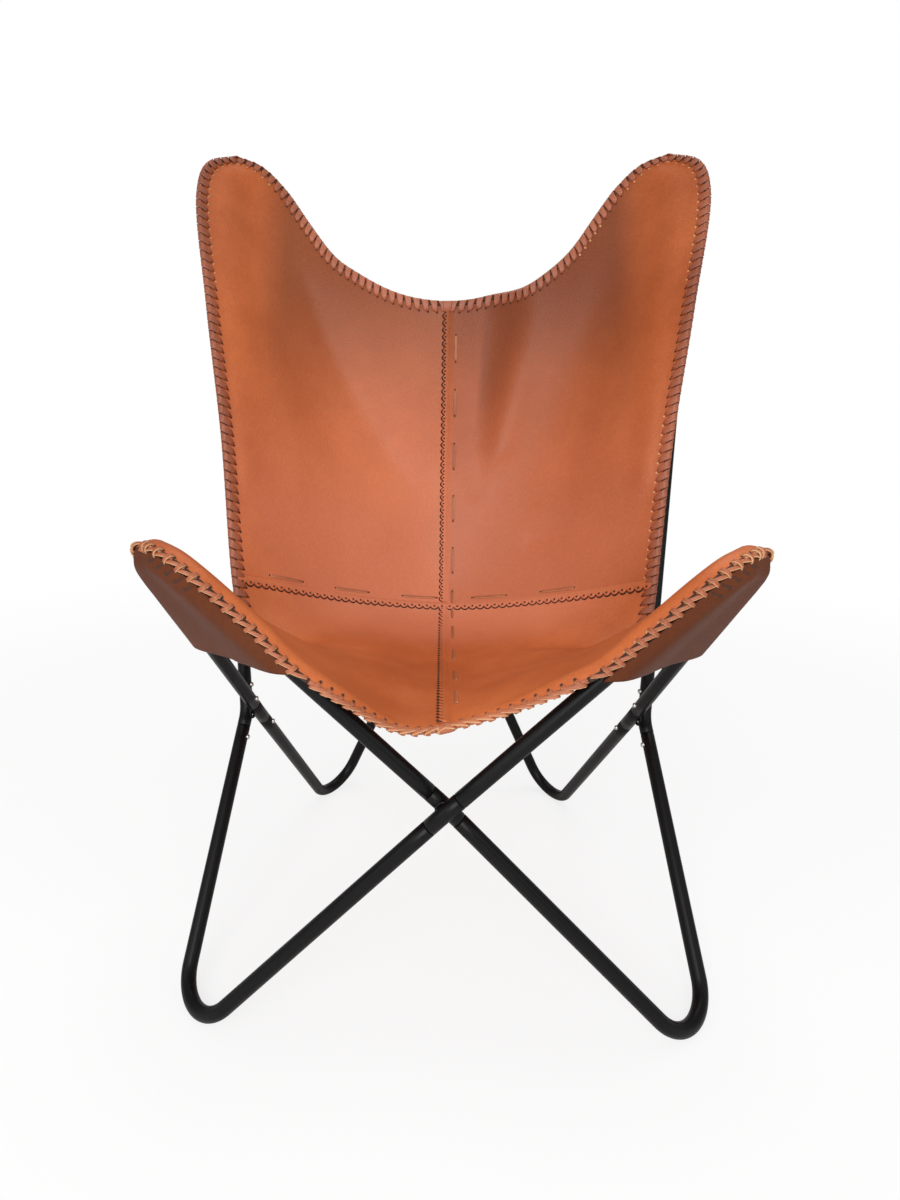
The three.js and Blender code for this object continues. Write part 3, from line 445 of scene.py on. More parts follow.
@dataclass
class TubeFrame:
    """The knock-down frame: tube loops, cross fittings and snap buttons."""

    tube_radius: float = 0.008
    tube_sides: int = 28
    packed_sides: int = 10
    bend_radius: float = 0.046
    bend_steps: int = 40
    lip: float = 0.0006
    foot_flat: float = 0.0005
    foot_rounds: int = 6
    front_foot: Pair = (0.232, -0.243)
    rear_foot: Pair = (0.166, 0.195)
    arm_tip: Place = (0.236, -0.246, 0.443)
    ear_tip: Place = (0.297, 0.278, 0.876)
    front_cross: Place = (0.0, -0.278, 0.247)
    rear_cross: Place = (0.0, 0.259, 0.353)
    side_cross: Place = (0.240, -0.026, 0.234)
    collar: float = 0.020
    bar_bend: float = 0.034
    bar_straight: float = 0.004
    bar_steps: int = 25
    spigot_reach: float = 0.006
    spigot_share: float = 0.78
    weld_depth: float = 0.0008
    weld_spread: float = 0.0052
    weld_bead: float = 0.0019
    weld_ripple: float = 0.03
    weld_ripples: int = 16
    weld_steps: int = 48
    weld_sides: int = 10
    weld_least_sine: float = 0.3
    button_radius: float = 0.003
    button_proud: float = 0.003
    button_setback: float = 0.033
    button_root: Pair = (0.0008, 0.0022)
    button_dome: float = 0.0020
    button_turn: Pair = (0.15, math.pi / 2 - 0.08)
    button_rings: int = 8
    button_sides: int = 24

    def __post_init__(self) -> None:
        """Lays out the crosses and the loops."""
        arm, ear = np.array(self.arm_tip), np.array(self.ear_tip)
        front = vec(*self.front_foot, self.bend_radius)
        rear = vec(*self.rear_foot, self.bend_radius)
        side = np.array(self.side_cross)
        self.crosses = {
            "front": np.array(self.front_cross),
            "rear": np.array(self.rear_cross),
            "right": side,
            "left": side * MIRROR,
        }
        m = MIRROR
        self.normals = {
            "front": self._normal(front * m, arm, front, arm * m, vec(0, -1, 0)),
            "rear": self._normal(rear * m, ear, rear, ear * m, vec(0, 1, 0)),
            "right": self._normal(front, ear, rear, arm, vec(1, 0, 0)),
            "left": self._normal(front * m, ear * m, rear * m, arm * m, vec(-1, 0, 0)),
        }
        centres = {"front_left_leg": front * m, "front_right_leg": front, "rear_left_leg": rear * m,
                   "rear_right_leg": rear, "left_arm": arm * m, "right_arm": arm, "left_back": ear * m,
                   "right_back": ear}
        self.loops = {}
        for name, spots in LOOP_ENDS.items():
            ends = [self.rod_point(*spot) for spot in spots]
            self.loops[name] = (self._foot(centres[name], *ends) if name.endswith("leg")
                                else Loop(centres[name], ends, self.bend_radius))
        self.rods = {cross: [(rod, *self._branches(cross, rod)) for rod in Rod]
                     for cross in ("front", "left", "right", "rear")}

    @staticmethod
    def _branches(cross: str, rod: Rod) -> list[tuple[str, int]]:
        """The loops that end on a rod of a cross, with the leg of each, the lower one first."""
        return [(name, leg) for name, spots in LOOP_ENDS.items() for leg, spot in enumerate(spots)
                if spot == (cross, rod)]

    @staticmethod
    def _normal(low_a: Array, top_a: Array, low_b: Array, top_b: Array, outward: Array) -> Array:
        """Normal of a cross, square to both of its rods and away from the seat."""
        normal = unit(np.cross(top_a - low_a, top_b - low_b))
        return normal if normal @ outward > 0 else -normal

    def rod_point(self, cross: str, rod: Rod) -> Array:
        """The place on a rod's centre line where the other rod crosses it."""
        step = rod.value * (self.tube_radius - self.weld_depth / 2)
        return self.crosses[cross] + self.normals[cross] * step

    def _foot(self, centre: Array, first: Array, second: Array) -> Loop:
        """A loop whose bend stands on the floor.

        Args:
            centre: Centre of the bend; its height is settled here.
            first: The first leg's rod point.
            second: The second leg's rod point.

        Returns:
            The loop.
        """
        loop = Loop(centre, [first, second], self.bend_radius)
        flat = self.tube_radius * math.cos(math.pi / self.packed_sides)
        for _ in range(self.foot_rounds):
            drop = self.bend_radius * math.sqrt(1 - loop.normal[2] ** 2)
            settled = vec(centre[0], centre[1], drop + flat - self.foot_flat)
            loop = Loop(settled, [first, second], self.bend_radius)
        return loop

    def build_loop(self, name: str, coat: Material) -> Piece:
        """One bent tube with softly rounded ends.

        Args:
            name: The loop's name.
            coat: The powder coat.

        Returns:
            The tube.
        """
        line = self.loops[name].centre_line(self.collar, self.bend_steps)
        first, last = unit(line[1] - line[0]) * self.lip, unit(line[-1] - line[-2]) * self.lip
        path = np.vstack([line[0], line[0] + first, line[1:-1], line[-1] - last, line[-1]])
        radii = np.full(len(path), self.tube_radius)
        radii[[0, -1]] -= self.lip
        points = sweep_rings(path, radii, self.tube_sides)
        points[:, 2] = np.maximum(points[:, 2], 0.0)
        mesh = Mesh()
        mesh.add_rings(points, self.tube_sides)
        return mesh.build(f"{name}_tube", [coat], "frame", f"{name}_loop", "black_coat")

    def build_cross(self, name: str, coat: Material) -> Piece:
        """One cross fitting: two bars, the weld between them and the spigots' shoulders.

        Args:
            name: The cross's name.
            coat: The powder coat.

        Returns:
            The fitting.
        """
        mesh = Mesh()
        for rod, *branches in self.rods[name]:
            corner = self.rod_point(name, rod)
            leg_a, leg_b = (self.loops[loop].legs[leg] for loop, leg in branches)
            reach, tip = self.collar - self.lip, self.collar + self.spigot_reach
            start, end = corner + leg_a * reach, corner + leg_b * reach
            t = np.linspace(0.0, 1.0, self.bar_steps)[:, None]
            pull = self.bar_bend * math.tan(angle_between(-leg_a, leg_b) / 2) + self.bar_straight
            near_a, near_b = corner + leg_a * pull, corner + leg_b * pull
            bend = (1 - t) ** 2 * near_a + 2 * t * (1 - t) * corner + t**2 * near_b
            path = np.vstack([corner + leg_a * tip, start, start, start - leg_a * self.lip, bend,
                              end - leg_b * self.lip, end, end, corner + leg_b * tip])
            radii = np.full(len(path), self.tube_radius)
            radii[[0, 1, -1, -2]] = self.tube_radius * self.spigot_share
            radii[[2, -3]] = self.tube_radius - self.lip
            mesh.add_rings(sweep_rings(path, radii, self.tube_sides), self.tube_sides)
        self._weld(mesh, name)
        return mesh.build(f"{name}_cross_fitting", [coat], "frame", f"{name}_cross", "black_coat")

    def _weld(self, mesh: Mesh, name: str) -> None:
        """Adds the bead of weld round the place where the two bars touch.

        Args:
            mesh: The fitting's mesh.
            name: The cross's name.
        """
        (_, (loop_a, leg_a), _), (_, (loop_b, leg_b), _) = self.rods[name]
        along_a, along_b = self.loops[loop_a].legs[leg_a], self.loops[loop_b].legs[leg_b]
        wide, narrow = unit(along_a + along_b), unit(along_a - along_b)
        half = angle_between(along_a, along_b) / 2
        spread = self.weld_spread / max(math.sin(half), self.weld_least_sine)
        tall = self.weld_spread / max(math.cos(half), self.weld_least_sine)
        centre, steps, sides = self.crosses[name], self.weld_steps, self.weld_sides
        rings = []
        for angle in np.linspace(0.0, FULL_TURN, steps, endpoint=False):
            place = centre + np.cos(angle) * spread * wide + np.sin(angle) * tall * narrow
            bead = self.weld_bead * (1 + self.weld_ripple * np.sin(angle * self.weld_ripples))
            rings.append(ring(place, unit(place - centre), self.normals[name], bead, sides))
        mesh.add(np.vstack(rings), ring_faces(steps, sides, closed=True))

    def build_button(self, cross: str, loop: str, leg: int, steel: Material) -> Piece:
        """One domed snap button standing out of its tube.

        Args:
            cross: The cross that it locks.
            loop: The loop that it sits on.
            leg: The leg of that loop.
            steel: The bright steel.

        Returns:
            The button.
        """
        along = self.loops[loop].legs[leg]
        seat = self.loops[loop].ends[leg] + along * self.button_setback
        facing = -self.normals[cross]
        facing = unit(facing - along * (facing @ along))
        aside = np.cross(along, facing)
        shoulder = self.tube_radius + self.button_proud - self.button_dome
        root = self.button_root
        profile = [root, (self.button_radius, root[1]), (self.button_radius, shoulder)]
        profile += [(self.button_radius * math.cos(a), shoulder + self.button_dome * math.sin(a))
                    for a in np.linspace(*self.button_turn, self.button_rings)]
        rings = [ring(seat + facing * height, along, aside, radius, self.button_sides)
                 for radius, height in profile]
        mesh = Mesh()
        mesh.add_rings(np.vstack(rings), self.button_sides)
        node = f"{loop}_button_at_{cross}"
        return mesh.build(f"{node}_dome", [steel], node, node, "bright_steel")

    def build(self, coat: Material, steel: Material) -> int:
        """Builds the whole frame.

        Args:
            coat: The powder coat.
            steel: The bright steel of the buttons.

        Returns:
            The number of pieces.
        """
        pieces = [self.build_loop(name, coat) for name in self.loops]
        pieces += [self.build_cross(name, coat) for name in self.crosses]
        for cross, pair in self.rods.items():
            for _, first, second in pair:
                pieces += [self.build_button(cross, *branch, steel) for branch in (first, second)]
        return len(pieces)


@dataclass
class SlingSizes:
    """Sizes of the sling, in metres."""

    leather: float = 0.0032
    clearance: float = 0.0035
    ear_hem: float = 0.020
    ear_lift: float = 0.004
    ear_hem_drop: float = 0.005
    lace_width: float = 0.0066
    pocket_gap: float = 0.002
    pocket_fold: float = 0.004
    ear_fold: float = 0.005
    pocket_turns: tuple[float, ...] = (1.0, 0.7, 0.4, 0.16)
    front_centre: Place = (0.0, -0.268, 0.332)
    seat_low: Place = (0.0, 0.030, 0.302)
    crease_centre: Place = (0.0, 0.165, 0.324)
    crease_bow: Place = (0.0, 0.028, -0.014)
    crease_end_rise: float = 0.153
    lumbar: Place = (0.0, 0.232, 0.480)
    top_centre: Place = (0.0, 0.258, 0.751)
    top_slope: Place = (0.160, 0.036, 0.050)
    side_dip: Place = (0.236, -0.048, 0.314)
    front_shares: tuple[float, ...] = (0.58, 0.8)
    rear_shares: tuple[float, ...] = (0.8, 0.5)
    arm_roll: float = math.radians(100)
    free_roll: float = math.radians(35)
    back_roll: float = math.radians(12)
    seam_width: float = 0.007
    arm_mouths: Pair = (0.62, 0.575)
    mouth_slopes: tuple[float, ...] = (0.0, 0.022, 0.042, 0.0)
    ear_mouth_legs: float = 0.72
    ear_mouth_top: float = 0.36
    ear_mouth_side: float = 0.2
    ear_tip_top: float = 0.24
    ear_tip_side: float = 0.14


@dataclass(frozen=True)
class Fold:
    """A soft fold in worn leather, along a line between two places; u is negative on the left half."""

    LENGTH_SHARE = 2.6

    start: Pair
    end: Pair
    width: float
    height: float

    def rise(self, u: Array, v: Array) -> Array:
        """Height of the fold at places on the sling.

        Args:
            u: Places across, from the centre seam.
            v: Places along, from the front edge.

        Returns:
            The heights, in metres towards the sitter.
        """
        tall = self.LENGTH_SHARE
        (u0, v0), (u1, v1) = self.start, self.end
        along = np.array([u1 - u0, (v1 - v0) * tall])
        t = ((u - u0) * along[0] + (v - v0) * tall * along[1]) / max(float(along @ along), 1e-9)
        t = np.clip(t, 0.0, 1.0)
        gap = np.hypot(u - u0 - along[0] * t, (v - v0) * tall - along[1] * t)
        return self.height * np.exp(-((gap / self.width) ** 2))


@dataclass(frozen=True)
class HalfFit:
    """How one half of the sling has settled on its loops."""

    sign: float
    crease_out: float
    ear_stops: tuple[Pair, ...]


RIGHT_FIT = HalfFit(1.0, 0.003, ((0.5, 0.007), (0.76, 0.020)))
LEFT_FIT = HalfFit(-1.0, 0.011, ((0.5, 0.014), (0.76, 0.024)))
BACK_FOLDS = (
    Fold((0.16, 1.0), (0.13, 0.70), 0.055, 0.0035),
    Fold((0.30, 1.0), (0.21, 0.76), 0.075, -0.0070),
    Fold((0.74, 0.95), (0.78, 0.84), 0.12, -0.0060),
    Fold((0.90, 0.97), (0.92, 0.62), 0.045, 0.0040),
    Fold((0.40, 0.595), (0.95, 0.580), 0.035, -0.0030),
    Fold((0.45, 0.640), (0.90, 0.630), 0.040, 0.0022),
    Fold((-0.74, 0.95), (-0.78, 0.84), 0.12, -0.0055),
    Fold((-0.92, 0.97), (-0.93, 0.62), 0.045, 0.0030),
    Fold((-0.52, 0.92), (-0.22, 0.74), 0.085, -0.0030),
    Fold((-0.62, 0.66), (-0.35, 0.63), 0.16, 0.0050),
    Fold((-0.60, 0.30), (-0.20, 0.22), 0.12, 0.0030),
    Fold((0.20, 0.26), (0.62, 0.30), 0.13, 0.0030),
)
EDGE_FOLDS = (
    Fold((-0.13, 0.0), (-0.13, 0.06), 0.14, -0.0120),
    Fold((0.34, 0.0), (0.34, 0.08), 0.19, 0.0090),
    Fold((-0.55, 1.0), (-0.40, 1.0), 0.16, 0.0080),
    Fold((0.60, 1.0), (0.48, 1.0), 0.12, 0.0060),
)


class SlingHalf:
    """One half of the sling's surface, laid out on the right; u from centre to side, v from front to top."""

    STEP = 0.01
    TANGENT_STEP = 0.004
    TIP_TURNS = (0.0, 0.5, 1.0)
    TOP_TURNS = (0.8, 0.4, 0.0)
    EAR_HOLD = {Edge.TOP: (0.8, 0.97), Edge.SIDE: (0.86, 0.97)}
    UPRIGHT = (0.42, 0.62)
    UPRIGHT_SHARES = (0.97, 0.75)
    RIPPLE = 0.0012
    RIPPLE_ACROSS = (7.1, 2.2)
    RIPPLE_ALONG = (9.0, 17.0)
    RIPPLE_PHASE = 0.8
    CALM_SIDE = (0.93, 1.0)
    CALM_CREASE = (0.6, 0.02)
    LENGTH_SAMPLES = 600

    def __init__(self, arm: Loop, ear: Loop, tube_radius: float, sizes: SlingSizes, fit: HalfFit) -> None:
        """Lays the edges, the crease and the centre seam.

        Args:
            arm: The arm loop, on the right.
            ear: The back loop, on the right.
            tube_radius: Radius of the tube under the leather.
            sizes: The sling's sizes.
            fit: How this half has settled.
        """
        self.arm, self.ear, self.sizes, self.fit = arm, ear, sizes, fit
        seat = vec(0.0, 0.0, sizes.seat_low[2] + arm.bend_radius)
        self.arm_face, self.ear_face = arm.face(seat), ear.face(seat)
        self.offset = tube_radius + sizes.clearance + sizes.leather / 2
        self.ear_out = tube_radius + sizes.ear_hem
        self.ear_level = self.offset + sizes.ear_lift
        front, crease, top = (np.array(p)
                              for p in (sizes.front_centre, sizes.crease_centre, sizes.top_centre))
        end = self._ear_leg(sizes.crease_end_rise / (ear.touches[0][2] - ear.ends[0][2]), fit.crease_out)
        self.front = CrossCurve([front] + [self._arm_leg(0, s) for s in sizes.front_shares]
                                + [self._arm_turn(0, t) for t in self.TIP_TURNS[::-1]])
        self.crease = CrossCurve([crease, (crease + end) / 2 + np.array(sizes.crease_bow), end])
        self.top = CrossCurve([top, top + np.array(sizes.top_slope)]
                              + [self._ear_turn(1, t) for t in self.TOP_TURNS])
        side = [self._arm_turn(1, t) for t in self.TIP_TURNS]
        side += [self._arm_leg(1, s) for s in sizes.rear_shares]
        side += [np.array(sizes.side_dip), end]
        crease_index = len(side) - 1
        side += [self._ear_leg(*stop) for stop in fit.ear_stops]
        side += [self._ear_turn(0, t) for t in self.TIP_TURNS[::-1]]
        self.side = CreasedCurve(side, crease_index)
        self.seam = CreasedCurve([front, np.array(sizes.seat_low), crease, np.array(sizes.lumbar), top], 2)
        self.front_roll = float(self.front.shares[1])
        self.arm_side_end = self.side.seat_share(crease_index - 2)
        self.dip_share = self.side.seat_share(crease_index - 1)

    def _arm_turn(self, leg: int, turn: float) -> Array:
        """A place over the bend of the arm loop."""
        return self.arm.round_tip(self.arm_face, leg, turn, 0.0, self.offset)

    def _arm_leg(self, leg: int, share: float) -> Array:
        """A place over a leg of the arm loop."""
        return self.arm.beside_leg(self.arm_face, leg, share, 0.0, self.offset)

    def _ear_turn(self, leg: int, turn: float) -> Array:
        """A place past the bend of the back loop."""
        return self.ear.round_tip(self.ear_face, leg, turn, self.ear_out, self.ear_level)

    def _ear_leg(self, share: float, out: float) -> Array:
        """A place beside the side leg of the back loop."""
        return self.ear.beside_leg(self.ear_face, 0, share, out, self.ear_level)

    def place(self, u: Array, v: Array) -> Array:
        """Points in the middle of the leather's thickness.

        Args:
            u: Places across, from the centre seam.
            v: Places along, from the front edge.

        Returns:
            The points.
        """
        u, v = np.broadcast_arrays(np.asarray(u, float), np.asarray(v, float))
        edge, seam = self.side.at(v), self.seam.at(v)
        square = (u * u)[..., None]
        result = (1 - square) * seam + square * edge
        result[..., 0] = u * edge[..., 0]
        on_seat = v < CREASE_V
        rise = np.where(on_seat, smoothstep(v, 0.0, CREASE_V), smoothstep(v, CREASE_V, 1.0))
        for curve, weight in ((self.front, np.where(on_seat, 1 - rise, 0.0)),
                              (self.crease, np.where(on_seat, rise, 1 - rise)),
                              (self.top, np.where(on_seat, 0.0, rise))):
            even = (1 - square) * curve.start + square * curve.end
            even[..., 0] = u * curve.end[0]
            result = result + weight[..., None] * (curve.at(u) - even)
        return result + self.settle(u, v)

    def settle(self, u: Array, v: Array) -> Array:
        """How the leather has settled away from an even sling.

        Args:
            u: Places across, from the centre seam.
            v: Places along, from the front edge.

        Returns:
            The shifts.
        """
        across = u * self.fit.sign
        upright = smoothstep(v, *self.UPRIGHT)
        back_share, lift_share = self.UPRIGHT_SHARES
        calm, reach = self.CALM_CREASE
        rise = sum(fold.rise(across, v) for fold in BACK_FOLDS)
        (wide_a, wide_b), (tall_a, tall_b) = self.RIPPLE_ACROSS, self.RIPPLE_ALONG
        wave = np.sin(v * tall_b - across * wide_b + self.RIPPLE_PHASE)
        rise = rise + self.RIPPLE * np.sin(across * wide_a + v * tall_a) * wave
        rise = rise * (1 - smoothstep(u, *self.CALM_SIDE))
        rise = rise * (1 - calm * np.exp(-(((v - CREASE_V) / reach) ** 2)))
        drop = sum(fold.rise(across, v) for fold in EDGE_FOLDS)
        shift = np.zeros(np.shape(u) + (3,))
        shift[..., 1] = -rise * upright * back_share
        shift[..., 2] = rise * (1 - lift_share * upright) + drop
        return shift

    def normal(self, u: Array, v: Array) -> Array:
        """Unit normals on the sitter's side.

        Args:
            u: Places across, from the centre seam.
            v: Places along, from the front edge.

        Returns:
            The normals.
        """
        s = self.STEP
        u, v = np.broadcast_arrays(np.asarray(u, float), np.asarray(v, float))
        # Central differences, kept clear of the edges.
        across, along = np.clip(u, s, 1 - 3 * s), np.clip(v, 3 * s, 1 - 3 * s)
        du = self.place(across + s, along) - self.place(across - s, along)
        dv = self.place(across, along + s) - self.place(across, along - s)
        normal = np.cross(du, dv)
        normal[..., 0] = np.where(u < 1e-9, 0.0, normal[..., 0])
        return unit(normal)

    @staticmethod
    def params(edge: Edge, s: Array) -> tuple[Array, Array]:
        """u and v at shares along an edge."""
        s = np.asarray(s, float)
        return (np.ones_like(s), s) if edge is Edge.SIDE else (s, np.full_like(s, edge is Edge.TOP))

    def roll(self, edge: Edge, s: Array) -> Array:
        """How far the hem rolls over along an edge.

        Args:
            edge: The edge.
            s: Shares along it.

        Returns:
            The angles, in radians.
        """
        z = self.sizes
        if edge is Edge.FRONT:
            return z.free_roll + (z.arm_roll - z.free_roll) * smoothstep(s, 0.0, self.front_roll)
        if edge is Edge.TOP:
            return np.full(np.shape(s), z.back_roll)
        return z.arm_roll + (z.back_roll - z.arm_roll) * smoothstep(s, self.arm_side_end / 2, self.dip_share)

    def edge_frame(self, edge: Edge, s: Array) -> tuple[Array, Array, Array]:
        """Places along an edge before the hem rolls, the way out of the leather, and its normal.

        Args:
            edge: The edge.
            s: Shares along it.

        Returns:
            The places, the outward directions and the normals.
        """
        s = np.asarray(s, float)
        step = self.TANGENT_STEP
        u, v = self.params(edge, s)
        place = self.place(u, v)
        ahead = self.place(*self.params(edge, np.clip(s + step, 0, 1)))
        behind = self.place(*self.params(edge, np.clip(s - step, 0, 1)))
        tangent = unit(ahead - behind)
        inside = self.place(u - step if edge is Edge.SIDE else u,
                            v if edge is Edge.SIDE else np.clip(v, step, 1 - step))
        surface = self.normal(u, v)
        if edge is not Edge.TOP:
            hold = (smoothstep(s, 0.0, self.front_roll) if edge is Edge.FRONT
                    else 1 - smoothstep(s, self.arm_side_end, self.dip_share))[..., None]
            surface = surface * (1 - hold) + self.arm_face * hold
        if edge in self.EAR_HOLD:
            hold = smoothstep(s, *self.EAR_HOLD[edge])[..., None]
            surface = surface * (1 - hold) + self.ear_face * hold
        outward = unit(np.cross(tangent, surface))
        flip = np.sum(outward * (inside - place), axis=-1, keepdims=True) > 0
        outward = np.where(flip, -outward, outward)
        normal = unit(np.cross(tangent, outward))
        normal = np.where(np.sum(normal * surface, axis=-1, keepdims=True) < 0, -normal, normal)
        return place, outward, normal

    def profile(self, edge: Edge, s: Array, inboard: Array, lift: Array) -> Array:
        """Points near an edge, by their distance from the end of the hem.

        Args:
            edge: The edge.
            s: Shares along it.
            inboard: Distances in from the end of the hem, along the leather; negative is past it.
            lift: Heights over the middle of the leather, on the sitter's side.

        Returns:
            The points.
        """
        s, inboard, lift = np.broadcast_arrays(*(np.asarray(x, float) for x in (s, inboard, lift)))
        place, outward, normal = self.edge_frame(edge, s)
        roll = self.roll(edge, s)
        rolled = roll * self.offset
        angle = np.clip(roll - np.maximum(inboard, 0.0) / self.offset, 0.0, None)
        sin, cos = np.sin(angle)[..., None], np.cos(angle)[..., None]
        curled = place + outward * self.offset * sin - normal * self.offset * (1 - cos)
        out, up = outward * cos - normal * sin, normal * cos + outward * sin
        curled = curled - out * np.minimum(inboard, 0.0)[..., None]
        flat = np.maximum(inboard - rolled, 0.0)
        u, v = self.params(edge, s)
        step = self.STEP
        if edge is Edge.SIDE:
            rate = np.linalg.norm(self.place(u, v) - self.place(u - step, v), axis=-1) / step
            inner_u, inner_v = u - flat / rate, v
        else:
            sign = 1.0 if edge is Edge.FRONT else -1.0
            rate = np.linalg.norm(self.place(u, v + sign * step) - self.place(u, v), axis=-1) / step
            inner_u, inner_v = u, v + sign * flat / rate
        shift = self.place(inner_u, inner_v) - place
        shift = np.where((flat > 0)[..., None], shift, 0.0)
        return curled + shift + up * lift[..., None]

    def edge_length(self, edge: Edge, low: float, high: float) -> tuple[Array, Array]:
        """Shares along a stretch of an edge, and the lengths up to them at the end of the hem."""
        s = np.linspace(low, high, self.LENGTH_SAMPLES)
        return s, run_lengths(self.profile(edge, s, 0.0, 0.0))


def closed_sheet(points: Array, normals: Array, cells: Faces, thickness: float) -> tuple[Array, Faces]:
    """A sheet of leather with two faces and a straight cut edge.

    Args:
        points: Vertices in the middle of the thickness.
        normals: Unit normals at them.
        cells: Quads that use them.
        thickness: The leather's thickness.

    Returns:
        The vertices and the faces.
    """
    count = len(points)
    half = thickness / 2
    verts = [points + normals * half, points - normals * half]
    faces = [tuple(c) for c in cells] + [tuple(k + count for k in c[::-1]) for c in cells]
    edges: dict[tuple[int, int], None] = {}
    for cell in cells:
        for a, b in zip(cell, cell[1:] + cell[:1]):
            if (b, a) in edges:
                del edges[(b, a)]
            else:
                edges[(a, b)] = None
    for a, b in edges:
        faces.append((b, a, a + count, b + count))
    return np.vstack(verts), faces


def grid_cells(rows: int, columns: int) -> Faces:
    """Quads of a grid of vertices, row after row."""
    return [(i * columns + j, i * columns + j + 1, (i + 1) * columns + j + 1, (i + 1) * columns + j)
            for i in range(rows - 1) for j in range(columns - 1)]


# Section of a thong, in half widths and half thicknesses, and which of its sides are cut edges.
THONG_SECTION = ((-1.0, -0.45), (-0.72, -1.0), (0.72, -1.0), (1.0, -0.45),
                 (1.0, 0.45), (0.72, 1.0), (-0.72, 1.0), (-1.0, 0.45))
THONG_CUTS = (3, 4, 7)


def ribbon(path: Array, ups: Array, width: float | Array, thickness: float) -> tuple[Array, list[bool]]:
    """A flat leather thong along a path, with rounded shoulders.

    Args:
        path: Its centre line.
        ups: The way its broad face looks, at each point.
        width: Its width, or the width at each point.
        thickness: Its thickness.

    Returns:
        The vertices, ring after ring, and whether each face of the tube is a cut edge.
    """
    tangents = unit(np.gradient(path, axis=0))
    across = unit(np.cross(tangents, ups))
    up = np.cross(across, tangents)
    w, t = np.broadcast_to(width, len(path))[:, None] / 2, thickness / 2
    rings = np.stack([path + across * w * x + up * t * y for x, y in THONG_SECTION], axis=1)
    sides = len(THONG_SECTION)
    cuts = [k % sides in THONG_CUTS for k in range((len(path) - 1) * sides)]
    return rings.reshape(-1, 3), cuts + [False, False]


class Materials:
    """Procedural finishes, built once and shared."""

    def __init__(self) -> None:
        """Builds the shared node groups and every finish."""
        # The zone group paints light and shade into the tan leathers.
        hide, zones, scuff = hide_group(), painted_light_group(), scuff_group()
        self.tan = TAN.build(hide, zones)
        # A darker copy of the tan: painted shade on the right back panel.
        self.shaded_tan = SHADED_TAN.build(hide, zones)
        self.pocket = DARK.build(hide, zones)
        self.thong = THONG.build(hide, zones)
        self.hem = HEM.build(hide, zones)
        self.raw = RAW.build(hide, zones)
        # The dark finish is painted shade for holes, pits, eyes, bead gaps and shadow lines.
        self.hole = PAINTED_SHADE.build(hide, zones)
        self.coat = COAT.build(scuff)
        self.steel = STEEL.build(scuff)


# Places of the colour sockets on a mix node.
MIX_A, MIX_B, MIX_RESULT = 6, 7, 2
SMOOTH = "SMOOTHSTEP"
ZONES = ("High", "Low", "Fold")


def new_group(name: str, inputs: dict[str, float], outputs: Sequence[str]
              ) -> tuple[Tree, Node, Node, Socket]:
    """A shader node group with named values.

    Args:
        name: Its name.
        inputs: The names and defaults of its inputs.
        outputs: The names of its outputs.

    Returns:
        The group, its input node, its output node and the place on the piece.
    """
    tree = bpy.data.node_groups.new(name, "ShaderNodeTree")
    for label, value in inputs.items():
        socket = tree.interface.new_socket(label, in_out="INPUT", socket_type="NodeSocketFloat")
        socket.default_value = value
    for label in outputs:
        tree.interface.new_socket(label, in_out="OUTPUT", socket_type="NodeSocketFloat")
    where = add_node(tree, "ShaderNodeTexCoord").outputs["Object"]
    return tree, add_node(tree, "NodeGroupInput"), add_node(tree, "NodeGroupOutput"), where


def feed(tree: Tree, node: Node, inputs: dict[str | int, Socket | Colour | float]) -> None:
    """Links sockets to a node's inputs, or sets numbers and colours on them.

    Args:
        tree: The tree.
        node: The node.
        inputs: What each input gets, by its name or place.
    """
    for key, value in inputs.items():
        if isinstance(value, Socket):
            tree.links.new(value, node.inputs[key])
        else:
            node.inputs[key].default_value = (*value, 1.0) if isinstance(value, tuple) else value


def add_node(tree: Tree, kind: str, inputs: dict[str | int, Socket | Colour | float] | None = None,
             **values: object) -> Node:
    """Adds a node.

    Args:
        tree: The tree.
        kind: The node's type.
        inputs: What its inputs get.
        values: Its properties and their values.

    Returns:
        The node.
    """
    node = tree.nodes.new(kind)
    for name, value in values.items():
        setattr(node, name, value)
    feed(tree, node, inputs or {})
    return node


def noise_node(tree: Tree, vector: Socket, scale: float | Socket, detail: float = 3.0,
               roughness: float = 0.55) -> Socket:
    """The value of a new noise texture."""
    inputs = {"Vector": vector, "Scale": scale, "Detail": detail, "Roughness": roughness}
    return add_node(tree, "ShaderNodeTexNoise", inputs).outputs["Fac"]


def math_node(tree: Tree, operation: str, a: Socket | float, b: Socket | float) -> Socket:
    """The result of a new math node."""
    return add_node(tree, "ShaderNodeMath", {0: a, 1: b}, operation=operation).outputs[0]


def range_node(tree: Tree, value: Socket, source: Pair, target: Pair, kind: str = "LINEAR") -> Socket:
    """The result of a new step of a value, from a source range to a target range."""
    inputs = dict(zip(("Value", "From Min", "From Max", "To Min", "To Max"), (value, *source, *target)))
    return add_node(tree, "ShaderNodeMapRange", inputs, interpolation_type=kind).outputs["Result"]


def mix_node(tree: Tree, share: Socket | float, a: Socket | Colour, b: Socket | Colour,
             blend: str = "MIX") -> Socket:
    """The colour of a new mix, with a share of the second colour."""
    inputs = {0: share, MIX_A: a, MIX_B: b}
    return add_node(tree, "ShaderNodeMix", inputs, data_type="RGBA", blend_type=blend).outputs[MIX_RESULT]


def bump_node(tree: Tree, height: Socket, strength: float, distance: float) -> Socket:
    """The normal of a new bump, its distance in metres."""
    inputs = {"Height": height, "Strength": strength, "Distance": distance}
    return add_node(tree, "ShaderNodeBump", inputs).outputs["Normal"]


